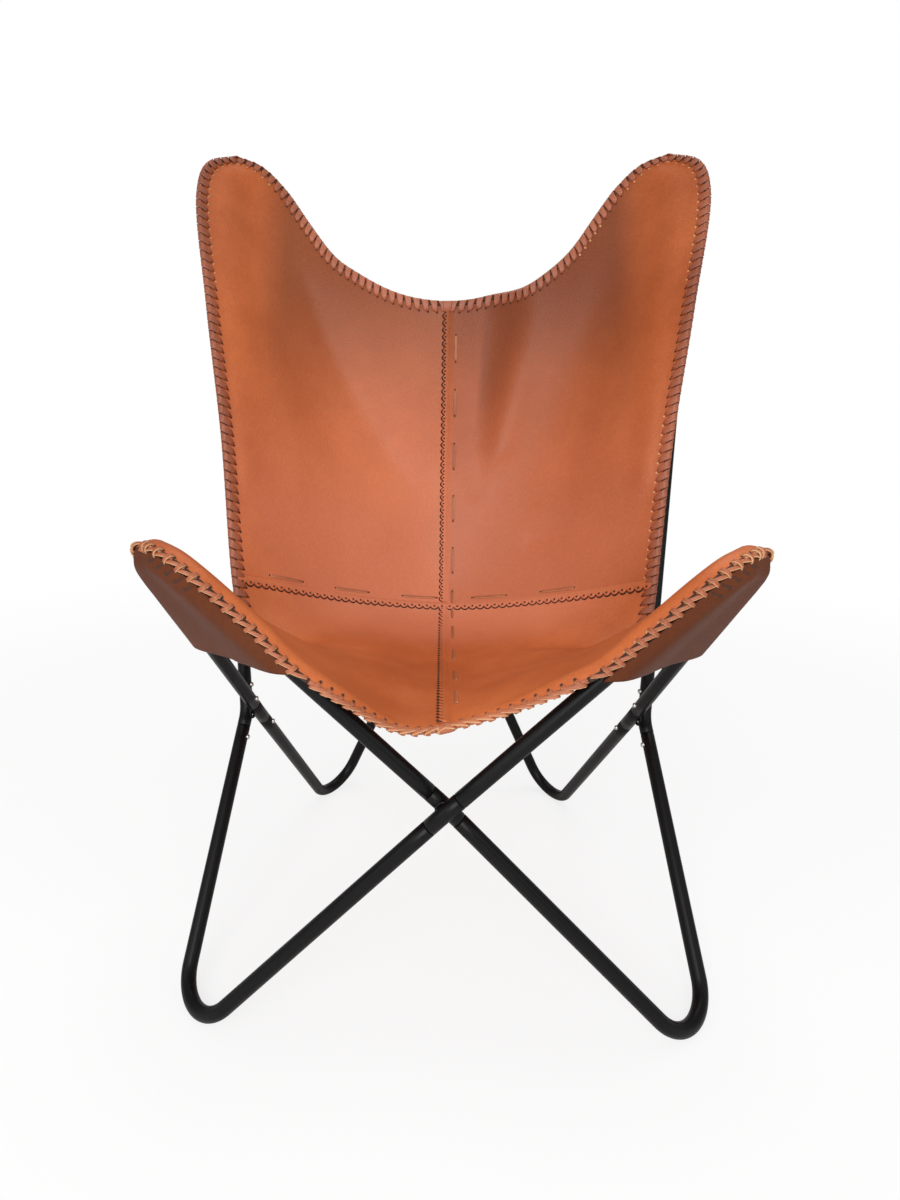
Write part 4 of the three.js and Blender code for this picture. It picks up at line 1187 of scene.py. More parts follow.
def hide_group() -> Tree:
    """Leather hide: a pebbled grain, soft creases and cloudy tone.

    Returns:
        The group, with outputs Height, Tone and Fleck.
    """
    tree, start, end, where = new_group("Leather hide", {"Grain Scale": 420.0, "Crease Depth": 0.4},
                                        ("Height", "Tone", "Fleck"))
    # Scales are in cells to the metre; the factors share out the height and the tone.
    inputs = {"Vector": where, "Scale": start.outputs["Grain Scale"], "Smoothness": 0.35}
    cells = add_node(tree, "ShaderNodeTexVoronoi", inputs, feature="SMOOTH_F1")
    fine = noise_node(tree, where, scale=1500.0, detail=2.0)
    crease = noise_node(tree, where, scale=26.0, detail=5.0, roughness=0.62)
    soft = math_node(tree, "MULTIPLY", crease, start.outputs["Crease Depth"])
    pebble = math_node(tree, "MULTIPLY", cells.outputs["Distance"], -0.35)
    grain = math_node(tree, "MULTIPLY", fine, 0.10)
    height = math_node(tree, "ADD", math_node(tree, "ADD", pebble, grain), soft)
    cloud = math_node(tree, "MULTIPLY", noise_node(tree, where, scale=4.5, detail=4.0, roughness=0.5), 0.65)
    patch = math_node(tree, "MULTIPLY", noise_node(tree, where, scale=17.0, detail=4.0, roughness=0.6), 0.35)
    tone = range_node(tree, math_node(tree, "ADD", cloud, patch), (0.36, 0.64), (0.0, 1.0))
    feed(tree, end, {"Height": height, "Tone": tone, "Fleck": noise_node(tree, where, scale=240.0)})
    return tree


def scuff_group() -> Tree:
    """Handling marks on coated and bright metal: a fine skin texture and patches of duller gloss.

    Returns:
        The group, with outputs Height and Dull.
    """
    tree, start, end, where = new_group("Metal scuff", {"Skin Scale": 900.0}, ("Height", "Dull"))
    feed(tree, end, {"Height": noise_node(tree, where, start.outputs["Skin Scale"]),
                     "Dull": noise_node(tree, where, scale=38.0, detail=5.0, roughness=0.65)})
    return tree


def painted_light_group() -> Tree:
    """Painted light and shade on the hide: painted shade high in the back, in the ears and along the long
    fold, and painted light and sheen low in the sling.

    Returns:
        The group, with outputs High and Fold for painted shade and Low for painted light and sheen.
    """
    tree, _, end, where = new_group("Sling painted light and shade", {}, ZONES)
    axes = add_node(tree, "ShaderNodeSeparateXYZ", {0: where})
    x, y, z = (axes.outputs[axis] for axis in "XYZ")
    # Places are ranges in metres; each result is a share of a tint that paints light and shade.
    # High: painted shade up the back and in the ears, fading at their outer rims.
    upper = range_node(tree, z, (0.52, 0.80), (0.0, 0.92), SMOOTH)
    inboard = range_node(tree, math_node(tree, "ABSOLUTE", x, x), (0.235, 0.29), (1.0, 0.10), SMOOTH)
    # Low: painted light and sheen on the upper seat and the lower back.
    rear = range_node(tree, y, (-0.02, 0.10), (0.0, 0.85), SMOOTH)
    lower = range_node(tree, z, (0.32, 0.74), (1.0, 0.0), SMOOTH)
    # Fold: painted shade in a band along the long fold, right of the centre seam.
    fold_heights = (0.588, 0.742)
    past_inner = math_node(tree, "SUBTRACT", x, range_node(tree, z, fold_heights, (0.042, 0.050)))
    past_outer = math_node(tree, "SUBTRACT", x, range_node(tree, z, fold_heights, (0.061, 0.109)))
    band = math_node(tree, "MULTIPLY", range_node(tree, past_inner, (-0.003, 0.008), (0.0, 0.62), SMOOTH),
                     range_node(tree, past_outer, (-0.020, 0.022), (1.0, 0.0), SMOOTH))
    fold_start = range_node(tree, z, (0.54, 0.66), (0.0, 1.0), SMOOTH)
    for label, a, b in zip(ZONES, (upper, rear, band), (inboard, lower, fold_start)):
        feed(tree, end, {label: math_node(tree, "MULTIPLY", a, b)})
    return tree


def bare_material(name: str) -> tuple[Material, Tree, Node]:
    """A new material with its tree and its Principled shader.

    Args:
        name: The material's name.

    Returns:
        The material, its tree and the shader.
    """
    material = bpy.data.materials.new(name)
    material.use_nodes = True
    tree = material.node_tree
    return material, tree, tree.nodes["Principled BSDF"]


@dataclass(frozen=True)
class LeatherFinish:
    """A leather: its darkest and lightest tone, gloss, grain and tints that paint light and shade in the
    sling's zones.
    """

    BUMP = 0.55

    name: str
    dark: Colour
    light: Colour
    gloss: Pair = (0.42, 0.56)
    grain_scale: float = 420.0
    crease: float = 0.4
    depth: float = 0.0011
    fleck: float = 0.12
    shine: float = 0.5
    painted_tints: tuple[Colour, ...] = ()

    def build(self, hide: Tree, zones: Tree) -> Material:
        """The leather's material.

        Args:
            hide: The shared hide group.
            zones: The shared group of the sling's zones of painted light and shade.

        Returns:
            The material.
        """
        material, tree, shader = bare_material(self.name)
        group = add_node(tree, "ShaderNodeGroup", node_tree=hide)
        feed(tree, group, {"Grain Scale": self.grain_scale, "Crease Depth": self.crease})
        colour = mix_node(tree, group.outputs["Tone"], self.dark, self.light)
        # Painted shade high in the back and along the long fold, and painted light and sheen low in the
        # sling.
        if self.painted_tints:
            painted_light = add_node(tree, "ShaderNodeGroup", node_tree=zones)
            for label, tint in zip(ZONES, self.painted_tints):
                colour = mix_node(tree, painted_light.outputs[label], colour, tint)
        colour = mix_node(tree, self.fleck, colour, group.outputs["Fleck"], "OVERLAY")
        gloss = range_node(tree, group.outputs["Fleck"], (0.0, 1.0), self.gloss)
        bump = bump_node(tree, group.outputs["Height"], self.BUMP, self.depth)
        feed(tree, shader, {"Base Color": colour, "Roughness": gloss, "Normal": bump,
                            "Specular IOR Level": self.shine})
        return material


@dataclass(frozen=True)
class MetalFinish:
    """A metal surface, coated or bright."""

    BUMP = 0.25
    TONES = (0.8, 1.3)

    name: str
    colour: Colour
    metallic: float
    gloss: Pair
    skin_scale: float
    skin_depth: float
    shine: float = 0.5

    def build(self, scuff: Tree) -> Material:
        """The metal's material.

        Args:
            scuff: The shared scuff group.

        Returns:
            The material.
        """
        material, tree, shader = bare_material(self.name)
        group = add_node(tree, "ShaderNodeGroup", node_tree=scuff)
        feed(tree, group, {"Skin Scale": self.skin_scale})
        dull = group.outputs["Dull"]
        dark, light = (tuple(min(c * tone, 1.0) for c in self.colour) for tone in self.TONES)
        colour = mix_node(tree, dull, dark, light)
        gloss = range_node(tree, dull, (0.0, 1.0), self.gloss)
        bump = bump_node(tree, group.outputs["Height"], self.BUMP, self.skin_depth)
        feed(tree, shader, {"Base Color": colour, "Roughness": gloss, "Normal": bump,
                            "Metallic": self.metallic, "Specular IOR Level": self.shine})
        return material


# The tan's tints are painted shade high in the back and ears, painted light and sheen low in the sling, and
# painted shade along the long fold.
TAN = LeatherFinish("Tan leather", (0.40, 0.086, 0.018), (0.57, 0.148, 0.042), (0.40, 0.54), shine=0.32,
                    painted_tints=((0.200, 0.044, 0.008), (0.56, 0.178, 0.090), (0.20, 0.043, 0.009)))
# A darker copy of the tan for the right back panel, painted shade, with its tints darker to match.
SHADED_TAN = replace(TAN, name="Tan leather, painted shade", dark=(0.345, 0.072, 0.014), light=(0.49, 0.122, 0.033),
                painted_tints=((0.160, 0.033, 0.006), (0.475, 0.143, 0.068), (0.18, 0.038, 0.007)))
DARK = LeatherFinish("Dark pocket leather", (0.090, 0.025, 0.010), (0.128, 0.037, 0.015), (0.52, 0.66),
                     shine=0.07)
THONG = LeatherFinish("Thong leather", (0.26, 0.064, 0.022), (0.45, 0.136, 0.055), grain_scale=700.0,
                      crease=0.2, depth=0.0005)
HEM = replace(THONG, name="Hem thong", dark=(0.22, 0.056, 0.023), light=(0.38, 0.108, 0.048))
RAW = LeatherFinish("Raw leather edge", (0.46, 0.22, 0.10), (0.63, 0.355, 0.185), (0.7, 0.85), 900.0,
                    crease=0.2, depth=0.0004)
# Painted shade: the dark inside holes, pits and eyes, in the gaps under strands and in shadow lines.
PAINTED_SHADE = LeatherFinish("Painted shade", (0.035, 0.011, 0.006), (0.06, 0.02, 0.01), (0.7, 0.9), 600.0,
                     crease=0.1, depth=0.0002)
COAT = MetalFinish("Black powder coat", (0.0036, 0.0033, 0.0038), 0.0, (0.28, 0.42), 1400.0, 0.00012, 0.16)
STEEL = MetalFinish("Bright steel", (0.60, 0.60, 0.58), 1.0, (0.14, 0.30), 700.0, 0.00006)


@dataclass(frozen=True)
class Strand:
    """One strand of thong beside an edge: its path, its width, and the line that its inner face looks at."""

    inboard: Array
    lift: Array
    advance: Array
    width: Array
    heart_inboard: Array
    heart_lift: Array


@dataclass(frozen=True)
class LaceStyle:
    """How a thong is laced along an edge; distances are in metres, in from the end of the hem."""

    TUCK = 0.0006
    TURN = math.radians(80)
    TURN_STEPS = 9
    LAP_STEPS = 15
    LAP_SINK = 0.0010
    LAP_DROP = 0.42
    END_SHARE = 0.7
    HEART = 0.0002
    HEART_DROP = 0.001
    BEAD_SHARE = 0.92
    TIE_SHIFT = 1.15

    pitch: float
    width: float
    thickness: float
    hole: float
    bead: float
    slant: float
    crossing: bool
    slot: Skin = Skin.THONG
    lap: float = 0.0
    core: Skin = Skin.THONG

    def tie(self) -> "LaceStyle":
        """The ties on top of a lapped braid."""
        return replace(self, width=self.width * 1.1, bead=self.bead + self.thickness * 0.7,
                       lap=self.lap * 1.6, hole=self.hole * 1.8, slant=0.12)

    def chain(self) -> "LaceStyle":
        """The long strands along a crossed braid."""
        return replace(self, width=self.width * 0.9, lap=self.hole * 0.40, hole=self.hole * 0.5, slant=0.78)

    def middle_turn(self) -> "LaceStyle":
        """The broad straight turn in the middle of an edge."""
        return replace(self, width=self.pitch * 1.1, bead=self.bead + self.thickness * 0.5, slant=0.0)

    def strand(self, cover: float) -> Strand:
        """One strand, over the hem or round it, on leather whose half thickness is given."""
        rest = cover + self.thickness * 0.6
        return self._lapped(rest) if self.lap else self._wrapped(rest)

    def _lapped(self, rest: float) -> Strand:
        """A strand over the hem, from a hole on the sitter's side to past the hem's end.

        Args:
            rest: The height of a strand that lies on the leather.

        Returns:
            The strand.
        """
        bow = np.linspace(-1, 1, self.LAP_STEPS)
        inboard = np.where(bow < 0, -bow * self.hole, -bow * self.lap)
        drop = np.where(bow > 0, bow * self.lap * self.LAP_DROP, 0.0)
        lift = rest + (self.bead - self.LAP_SINK) * (1 - bow**2) - drop
        lift[[0, -1]] -= self.thickness
        width = np.full(self.LAP_STEPS, self.width)
        width[[0, -1]] *= self.END_SHARE
        return Strand(inboard, lift, bow + 1, width, inboard, lift - self.HEART_DROP)

    def _wrapped(self, rest: float) -> Strand:
        """A strand round the hem, from a hole on the sitter's side to its hole on the back.

        Args:
            rest: The height of a strand that lies on the leather.

        Returns:
            The strand, narrowed at the holes where it does not cross others.
        """
        hole, over, reach = self.hole, self.bead * 0.5, self.bead + self.thickness / 2
        turn = np.linspace(self.TURN, -self.TURN, self.TURN_STEPS)
        # Out of its hole, along the leather, round the bead and into the hole behind.
        slope, rise, tucked = hole * 0.7 + over * 0.3, (rest + reach) / 2, hole - self.TUCK
        inboard = np.concatenate([[hole, tucked, slope], over - reach * np.cos(turn), [slope, tucked, hole]])
        lift = np.concatenate([[0.0, rest, rise], reach * np.sin(turn), [-rise, -rest, 0.0]])
        advance = np.concatenate([[0.0, 0.05, 0.3], np.linspace(0.5, 1.5, self.TURN_STEPS), [1.7, 1.95, 2.0]])
        width = np.full(len(inboard), self.width)
        if self.crossing:
            width[[0, -1]] *= self.END_SHARE
        else:
            width[[0, 1, -2, -1]] = self.width * 0.5
            width[[2, -3]] = self.width * 0.85
        return Strand(inboard, lift, advance, width, np.maximum(inboard, over),
                      np.clip(lift, -self.HEART, self.HEART))


# Where a bead's core is the dark skin, that is painted shade in the gaps between strands.
COMB = LaceStyle(0.0128, 0.0094, 0.0013, 0.0125, 0.0036, 0.75, False, Skin.HEM, core=Skin.PAINTED_SHADE)
BRAID = LaceStyle(0.0118, 0.0040, 0.0015, 0.0046, 0.0028, 0.20, True)
LAP_BRAID = LaceStyle(0.0126, 0.0034, 0.0017, 0.0027, 0.0030, 0.74, True, lap=0.0025, core=Skin.PAINTED_SHADE)
TIP_BRAID = replace(LAP_BRAID, core=Skin.HEM)


@dataclass(frozen=True)
class FlapStyle:
    """Sizes of a scalloped seam flap, in metres."""

    STEPS = 12
    ROUNDING = 0.7
    SUNK = -0.0012
    FOOT = (-0.0001, 0.0002)
    EYE_SHARES = (0.52, 1.04)

    pitch: float
    back: float
    root: float
    scallop: float
    rise: float
    eye: float
    # Width of the strip past the scalloped edge that carries painted shade.
    shadow_band: float

    def sections(self, edge: Array) -> tuple[tuple[float | Array, float], ...]:
        """The flap's section, from its back over its top to its scalloped edge and under it.

        Args:
            edge: Where the scalloped edge lies across the seam, along the flap.

        Returns:
            Shifts across the seam and heights over the leather.
        """
        back, rise = self.back, self.rise
        heel, toe = self.FOOT
        # Shares of the back, of the scalloped edge and of the rise.
        return ((back, self.SUNK), (back * 0.8, heel), (back * 0.5, rise * 0.12), (back * 0.2, rise * 0.62),
                (0.0, rise), (edge * 0.6, rise * 1.05), (edge * 0.92, rise), (edge, rise * 0.7),
                (edge - self.shadow_band, toe), (edge, self.SUNK))


CREASE_FLAP = FlapStyle(0.0112, 0.0085, 0.0040, 0.0046, 0.0026, 0.0017, 0.0020)
CENTRE_FLAP = FlapStyle(0.0096, 0.0110, 0.0022, 0.0046, 0.0021, 0.0014, 0.0022)
# The side of a flap's section that lies in its shadow band, painted shade past the scalloped edge.
SHADOW_BAND_SIDE = 7

# Lacing legs on the arm pockets, dark as painted shadow lines: lengths along the hem from the tip, and their
# reach down the pocket.
LEG_PLACES = (0.014, 0.025, 0.036, 0.047, 0.058)
LEG_START, LEG_END = 0.002, 0.0098
LEG_WIDTH, LEG_THICKNESS = 0.0017, 0.0010
LEG_STEPS = 7


@dataclass(frozen=True)
class StitchRow:
    """A row of running stitches: where its line starts and ends, how far in it keeps, and its stitches."""

    start: float
    end: float
    dash: float
    gap: float
    inset: float = 0.0


CREASE_ROW = StitchRow(0.0, 0.93, 0.052, 0.052)
CROSSING_ROW = StitchRow(CREASE_V - 0.035, CREASE_V + 0.035, 0.050, 0.008)
SEAT_ROW = StitchRow(0.0, CREASE_V - 0.004, 0.046, 0.050, 0.03)
BACK_ROW = StitchRow(CREASE_V + 0.006, 0.999, 0.038, 0.040, 0.03)


@dataclass(frozen=True)
class Stretch:
    """A measured stretch of an edge: shares along it and the lengths up to them."""

    side: Side
    edge: Edge
    shares: Array
    lengths: Array

    def at(self, lengths: Array) -> Array:
        """Shares along the edge at lengths along the stretch."""
        return np.interp(lengths, self.lengths, self.shares)


class Sling:
    """The leather sling: panels, pockets, edge lacing, seam flaps and running stitches."""

    ROLL_STEPS = 7
    ACROSS_BANDS = ((0.0, 0.8, 48), (0.8, 1.0, 26))
    SEAT_BANDS = ((0.0, 0.06, 16), (0.06, CREASE_V, 64))
    BACK_BANDS = ((0.94, 1.0, 16), (CREASE_V, 0.94, 64))
    PROBE = 0.001
    PANEL_HEM = 0.03
    POCKET_HEM = 0.01
    POCKET_LEG_ROWS = 4
    POCKET_GRID = (49, 41)
    POCKET_SAMPLES = 24
    POCKET_FACE = 0.4
    POCKET_THIN = 0.8
    EDGE_END = 0.997
    SIDE_START = 0.004
    MIDDLE_TURN = 0.04
    FIRST_TURN = 0.2
    BEAD_STEP = 0.004
    BEAD_SIDES = 10
    PAINTED_SHADE_RADIUS = 0.0017
    PAINTED_SHADE_INSET = 0.0012
    STITCH_PIT = 0.0015
    PIT_SIDES = 12
    PIT_RINGS = ((1.25, -0.0004), (1.2, 0.0002), (0.95, 0.0003), (0.85, 0.0001))
    EAR_DAYLIGHT = 0.82
    SIDE_DAYLIGHT = 0.68
    GUSSET_REACH = (-0.0045, 0.030)
    GUSSET_STEPS = 12
    GUSSET_SPREAD = 0.2
    GUSSET_THIN = 0.45
    BACKING_SHARE = 2.4
    STITCH_STEPS = 15
    STITCH_LIFT = 0.0008
    STITCH_SUNK = -0.0010
    STITCH_WIDTH = 0.0036
    STITCH_THICKNESS = 0.0012
    LINE_STEPS = 200
    ROW_ABOVE = 0.0120
    ROW_ASIDE = 0.0115

    def __init__(self, frame: TubeFrame, materials: Materials, sizes: SlingSizes) -> None:
        """Lays both halves over their loops.

        Args:
            frame: The tube frame.
            materials: The finishes.
            sizes: The sling's sizes.
        """
        self.sizes, self.materials = sizes, materials
        loops, radius = frame.loops, frame.tube_radius
        left_arm, left_ear = loops["left_arm"].mirrored(), loops["left_back"].mirrored()
        self.halves = {
            Side.RIGHT: SlingHalf(loops["right_arm"], loops["right_back"], radius, sizes, RIGHT_FIT),
            Side.LEFT: SlingHalf(left_arm, left_ear, radius, sizes, LEFT_FIT),
        }

    @staticmethod
    def on_side(side: Side, points: Array) -> Array:
        """Points laid out on the right, moved to their side."""
        return points if side is Side.RIGHT else points * MIRROR

    def _thong_piece(self, mesh: Mesh, name: str, node: str) -> Piece:
        """Makes a piece of thong work and puts it in its node's place."""
        m = self.materials
        return mesh.build(name, [m.thong, m.raw, m.hole, m.tan, m.hem], "frame", node, "lace_leather")

    def build_panel(self, side: Side, name: str) -> Piece:
        """One leather panel with its rolled hem.

        Args:
            side: The side of the chair.
            name: seat_panel or back_panel.

        Returns:
            The panel.
        """
        half, z = self.halves[side], self.sizes
        seat = name == "seat_panel"
        us, vs = (np.unique(np.concatenate([np.linspace(*band) for band in bands]))
                  for bands in (self.ACROSS_BANDS, self.SEAT_BANDS if seat else self.BACK_BANDS))
        end_row, end_edge, crease_row = (0, Edge.FRONT, -1) if seat else (-1, Edge.TOP, 0)
        u, v = np.meshgrid(us, vs)
        places, normals = half.place(u, v), half.normal(u, v)
        places[:, 0, 0] = z.seam_width / 2
        step = -half.STEP if seat else half.STEP
        ahead = unit(half.place(us, CREASE_V + step) - half.place(us, CREASE_V))
        places[crease_row] += ahead * z.seam_width / 2
        index = np.arange(places[..., 0].size).reshape(len(vs), len(us))
        rims = [(end_edge, us, index[end_row], places[end_row]), (Edge.SIDE, vs, index[:, -1], places[:, -1])]
        middle, ups = [places.reshape(-1, 3)], [normals.reshape(-1, 3)]
        cells, count, steps = grid_cells(len(vs), len(us)), index.size, self.ROLL_STEPS
        for edge, shares, roots, starts in rims:
            s = np.repeat(shares[:, None], steps, axis=1)
            inboard = half.roll(edge, s) * half.offset * (1 - np.linspace(0, 1, steps + 1)[1:])
            low = half.profile(edge, s, inboard, np.zeros_like(s))
            high = half.profile(edge, s, inboard, np.full_like(s, self.PROBE))
            shift = starts - half.place(*half.params(edge, shares))
            middle.append((low + shift[:, None]).reshape(-1, 3))
            ups.append(unit(high - low).reshape(-1, 3))
            strips = np.column_stack([roots, count + np.arange(s.size).reshape(s.shape)])
            for a, b in zip(strips[:-1], strips[1:]):
                quads = [(a[k], a[k + 1], b[k + 1], b[k]) for k in range(steps)]
                cells += quads if edge is Edge.FRONT else [q[::-1] for q in quads]
            count += s.size
        verts, faces = closed_sheet(np.vstack(middle), np.vstack(ups), cells, z.leather)
        mesh = Mesh()
        mesh.add(self.on_side(side, verts), faces)
        # The right back panel takes the darker copy of the tan, painted shade.
        hide = self.materials.shaded_tan if side is Side.RIGHT and not seat else self.materials.tan
        node = f"{side.value}_{name}"
        piece = mesh.build(f"{node}_leather", [hide], "frame", node, "tan_leather")
        self._declare(piece, places, self.PANEL_HEM, [f"{side.value}_arm_loop", f"{side.value}_back_loop"])
        return piece

    @staticmethod
    def _declare(piece: Piece, grid: Array, hem: float, holders: list[str]) -> None:
        """States the flat cut of a leather piece.

        Args:
            piece: The piece.
            grid: Its middle points, row by row.
            hem: Leather taken up by the hems, across and along.
            holders: What it hangs from; it is not used.
        """
        across = float(np.linalg.norm(np.diff(grid, axis=1), axis=-1).sum(axis=1).max()) + hem
        along = float(np.linalg.norm(np.diff(grid, axis=0), axis=-1).sum(axis=0).max()) + hem
        area = min(sum(face.area for face in piece.data.polygons) / 2, across * along)
        LOG.info("%s flat size %.3f x %.3f m, area %.4f", piece.name, across, along, area)
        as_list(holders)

    def _pocket_rows(self, side: Side, arm: bool) -> Array:
        """Guide points of a pocket, from its mouth to its tip, across from the side edge to the other.

        Args:
            side: The side of the chair.
            arm: True for an arm pocket, False for an ear pocket.

        Returns:
            The rows of points.
        """
        half, z = self.halves[side], self.sizes
        if arm:
            loop, face, legs = half.arm, half.arm_face, (1, 1, 0, 0)
            hem = (half.offset * math.sin(z.arm_roll), half.offset * math.cos(z.arm_roll) - z.pocket_gap)
            fold = (z.pocket_fold, -half.offset)
        else:
            loop, face, legs = half.ear, half.ear_face, (0, 0, 1, 1)
            hem = (half.ear_out - z.lace_width / 2, half.offset + z.ear_lift - z.ear_hem_drop)
            fold = (z.ear_fold, -half.offset)
        rows = []
        for share in np.arange(self.POCKET_LEG_ROWS) / self.POCKET_LEG_ROWS:
            row = []
            for k, (leg, spot) in enumerate(zip(legs, (hem, fold, fold, hem))):
                start, slope = (z.arm_mouths[leg], z.mouth_slopes[k]) if arm else (z.ear_mouth_legs, 0.0)
                along = start + (1 - start) * share + slope * (1 - share)
                row.append(loop.beside_leg(face, leg, along, *spot))
            if not arm:
                side_end = z.ear_mouth_side + (z.ear_tip_side - z.ear_mouth_side) * share
                top_end = z.ear_mouth_top + (z.ear_tip_top - z.ear_mouth_top) * share
                row[0] = self._behind(half, Edge.SIDE, 1 - side_end)
                row[3] = self._behind(half, Edge.TOP, 1 - top_end)
            rows.append(row)
        for turn in z.pocket_turns:
            inner = hem if turn == z.pocket_turns[-1] else fold
            spots = (hem, inner, inner, hem)
            rows.append([loop.round_tip(face, leg, turn, *spot) for leg, spot in zip(legs, spots)])
        return np.array([[a, b, (b + c) / 2, c, d] for a, b, c, d in rows])

    def _behind(self, half: SlingHalf, edge: Edge, s: float) -> Array:
        """A point just behind the leather, a little in from an edge."""
        place, outward, normal = half.edge_frame(edge, np.array(s))
        return place - outward * self.sizes.lace_width / 2 - normal * self.sizes.ear_hem_drop

    def _pocket_grid(self, side: Side, arm: bool) -> tuple[Array, Array]:
        """A pocket's leather as a grid, rows from its mouth to its tip.

        Args:
            side: The side of the chair.
            arm: True for an arm pocket, False for an ear pocket.

        Returns:
            The points and their normals, towards the sitter.
        """
        half, samples = self.halves[side], self.POCKET_SAMPLES
        along, across = (np.linspace(0, 1, count) for count in self.POCKET_GRID)
        wide = np.array([SmoothCurve(row, samples).at(across) for row in self._pocket_rows(side, arm)])
        fine = np.stack([SmoothCurve(wide[:, j], samples).at(along) for j in range(len(across))], axis=1)
        face = half.arm_face if arm else half.ear_face
        normals = unit(np.cross(np.gradient(fine, axis=1), np.gradient(fine, axis=0)))
        normals = np.where(np.sum(normals * face, axis=-1, keepdims=True) < 0, -normals, normals)
        return fine, unit(normals * (1 - self.POCKET_FACE) + face * self.POCKET_FACE)

    def build_pocket(self, side: Side, arm: bool) -> Piece:
        """One corner pocket.

        Args:
            side: The side of the chair.
            arm: True for an arm pocket, False for an ear pocket.

        Returns:
            The pocket.
        """
        fine, normals = self._pocket_grid(side, arm)
        verts, faces = closed_sheet(fine.reshape(-1, 3), normals.reshape(-1, 3), grid_cells(*fine.shape[:2]),
                                    self.sizes.leather * self.POCKET_THIN)
        mesh = Mesh()
        mesh.add(self.on_side(side, verts), faces)
        node = f"{side.value}_{'arm' if arm else 'ear'}_pocket"
        piece = mesh.build(f"{node}_leather", [self.materials.pocket], "frame", node, "dark_leather")
        self._declare(piece, fine, self.POCKET_HEM, [f"{side.value}_{'arm' if arm else 'back'}_loop"])
        return piece

    def _thong(self, mesh: Mesh, side: Side, line: tuple[Array, Array], width: float | Array,
               thickness: float, broad: Skin, cut: Skin) -> None:
        """Adds a length of thong along a line and its normals, moved to a side of the chair."""
        points, cuts = ribbon(*line, width, thickness)
        mesh.add_rings(self.on_side(side, points), len(THONG_SECTION), [cut if k else broad for k in cuts])

    def _strands(self, mesh: Mesh, stretch: Stretch, starts: Array, pitch: float, style: LaceStyle) -> None:
        """Strands of thong along an edge.

        Args:
            mesh: Where they go.
            stretch: The stretch of the edge.
            starts: Lengths along the stretch where the strands start.
            pitch: Length along the edge from one turn to the next.
            style: The lacing style.
        """
        half = self.halves[stretch.side]
        strand = style.strand(self.sizes.leather / 2)
        s = stretch.at(starts[:, None] + strand.advance * (pitch * style.slant))
        paths = half.profile(stretch.edge, s, strand.inboard, strand.lift)
        hearts = half.profile(stretch.edge, s, strand.heart_inboard, strand.heart_lift)
        cut = Skin.HEM if style.slot is Skin.HEM else Skin.RAW
        for path, heart in zip(paths, hearts):
            line = path, unit(path - heart)
            self._thong(mesh, stretch.side, line, strand.width, style.thickness, style.slot, cut)

    def _lace(self, mesh: Mesh, side: Side, edge: Edge, low: float, high: float, style: LaceStyle) -> None:
        """Laces a stretch of an edge: strands of thong, a bead under them and the holes beside it.

        Args:
            mesh: Where it goes.
            side: The side of the chair.
            edge: The edge.
            low: Where the stretch starts, as a share of the edge.
            high: Where it ends.
            style: The lacing style.
        """
        half = self.halves[side]
        stretch = Stretch(side, edge, *half.edge_length(edge, low, high))
        length = stretch.lengths[-1]
        count = max(round(length / style.pitch), 1)
        pitch = length / count
        starts = (np.arange(count) + self.FIRST_TURN) * pitch
        if style.lap:
            self._strands(mesh, stretch, starts + pitch * style.TIE_SHIFT, pitch, style.tie())
        elif style.crossing:
            self._strands(mesh, stretch, starts - pitch, pitch, style.chain())
        self._strands(mesh, stretch, starts, pitch, style)
        # The bead under the strands; with the dark core skin it is painted shade between them.
        stops = stretch.at(np.linspace(0, length, max(int(length / self.BEAD_STEP), 8)))
        line = half.profile(edge, stops, style.bead * 0.5, 0.0)
        points = sweep_rings(line, np.full(len(line), style.bead * style.BEAD_SHARE), self.BEAD_SIDES)
        mesh.add_rings(self.on_side(side, points), self.BEAD_SIDES, style.core)
        for s in stretch.at(starts[1:] if style.lap else starts):
            self._hole(mesh, side, edge, float(s), style.hole + self.PAINTED_SHADE_INSET)

    def _pocket_shadow_legs(self, mesh: Mesh, side: Side) -> None:
        """The lacing's legs on the front of an arm pocket, near the tip, each down to its hole, dark as
        painted shadow lines.

        Args:
            mesh: Where they go.
            side: The side of the chair.
        """
        grid, normals = self._pocket_grid(side, True)
        hem = run_lengths(grid[::-1, -1])
        rows = np.arange(len(grid))[::-1]
        for back in LEG_PLACES:
            row = int(round(float(np.interp(back, hem, rows))))
            line, ups = grid[row, ::-1], -normals[row, ::-1]
            lengths = run_lengths(line)
            at = np.linspace(LEG_START, LEG_END, LEG_STEPS)
            path, up = pick(lengths, line, at), unit(pick(lengths, ups, at))
            path = path + up * self.sizes.leather * self.POCKET_THIN / 2
            # Dark thong and pit: painted shadow lines on the pocket.
            self._thong(mesh, side, (path, up), LEG_WIDTH, LEG_THICKNESS, Skin.PAINTED_SHADE, Skin.PAINTED_SHADE)
            spot = (self.on_side(side, a) for a in (path[-1], up[-1], unit(path[-1] - path[-2])))
            self._pit(mesh, *spot, self.STITCH_PIT, Skin.PAINTED_SHADE, Skin.PAINTED_SHADE)

    def _tip_gusset(self, mesh: Mesh, side: Side) -> None:
        """A small gusset of leather that closes the corner at an arm's tip.

        Args:
            mesh: Where it goes.
            side: The side of the chair.
        """
        half, thin = self.halves[side], self.sizes.leather * self.GUSSET_THIN
        inboard = np.linspace(*self.GUSSET_REACH, self.GUSSET_STEPS)
        rows = []
        for lift in (thin, -thin):
            first = half.profile(Edge.SIDE, 0.0, inboard, lift)
            second = half.profile(Edge.FRONT, 1.0, inboard, lift)
            spread = (first - second) * self.GUSSET_SPREAD
            rows.append((first + spread, (first + second) / 2, second - spread))
        section = [*rows[0], *rows[1][::-1]]
        points = np.stack(section, axis=1).reshape(-1, 3)
        mesh.add_rings(self.on_side(side, points), len(section), Skin.TAN)

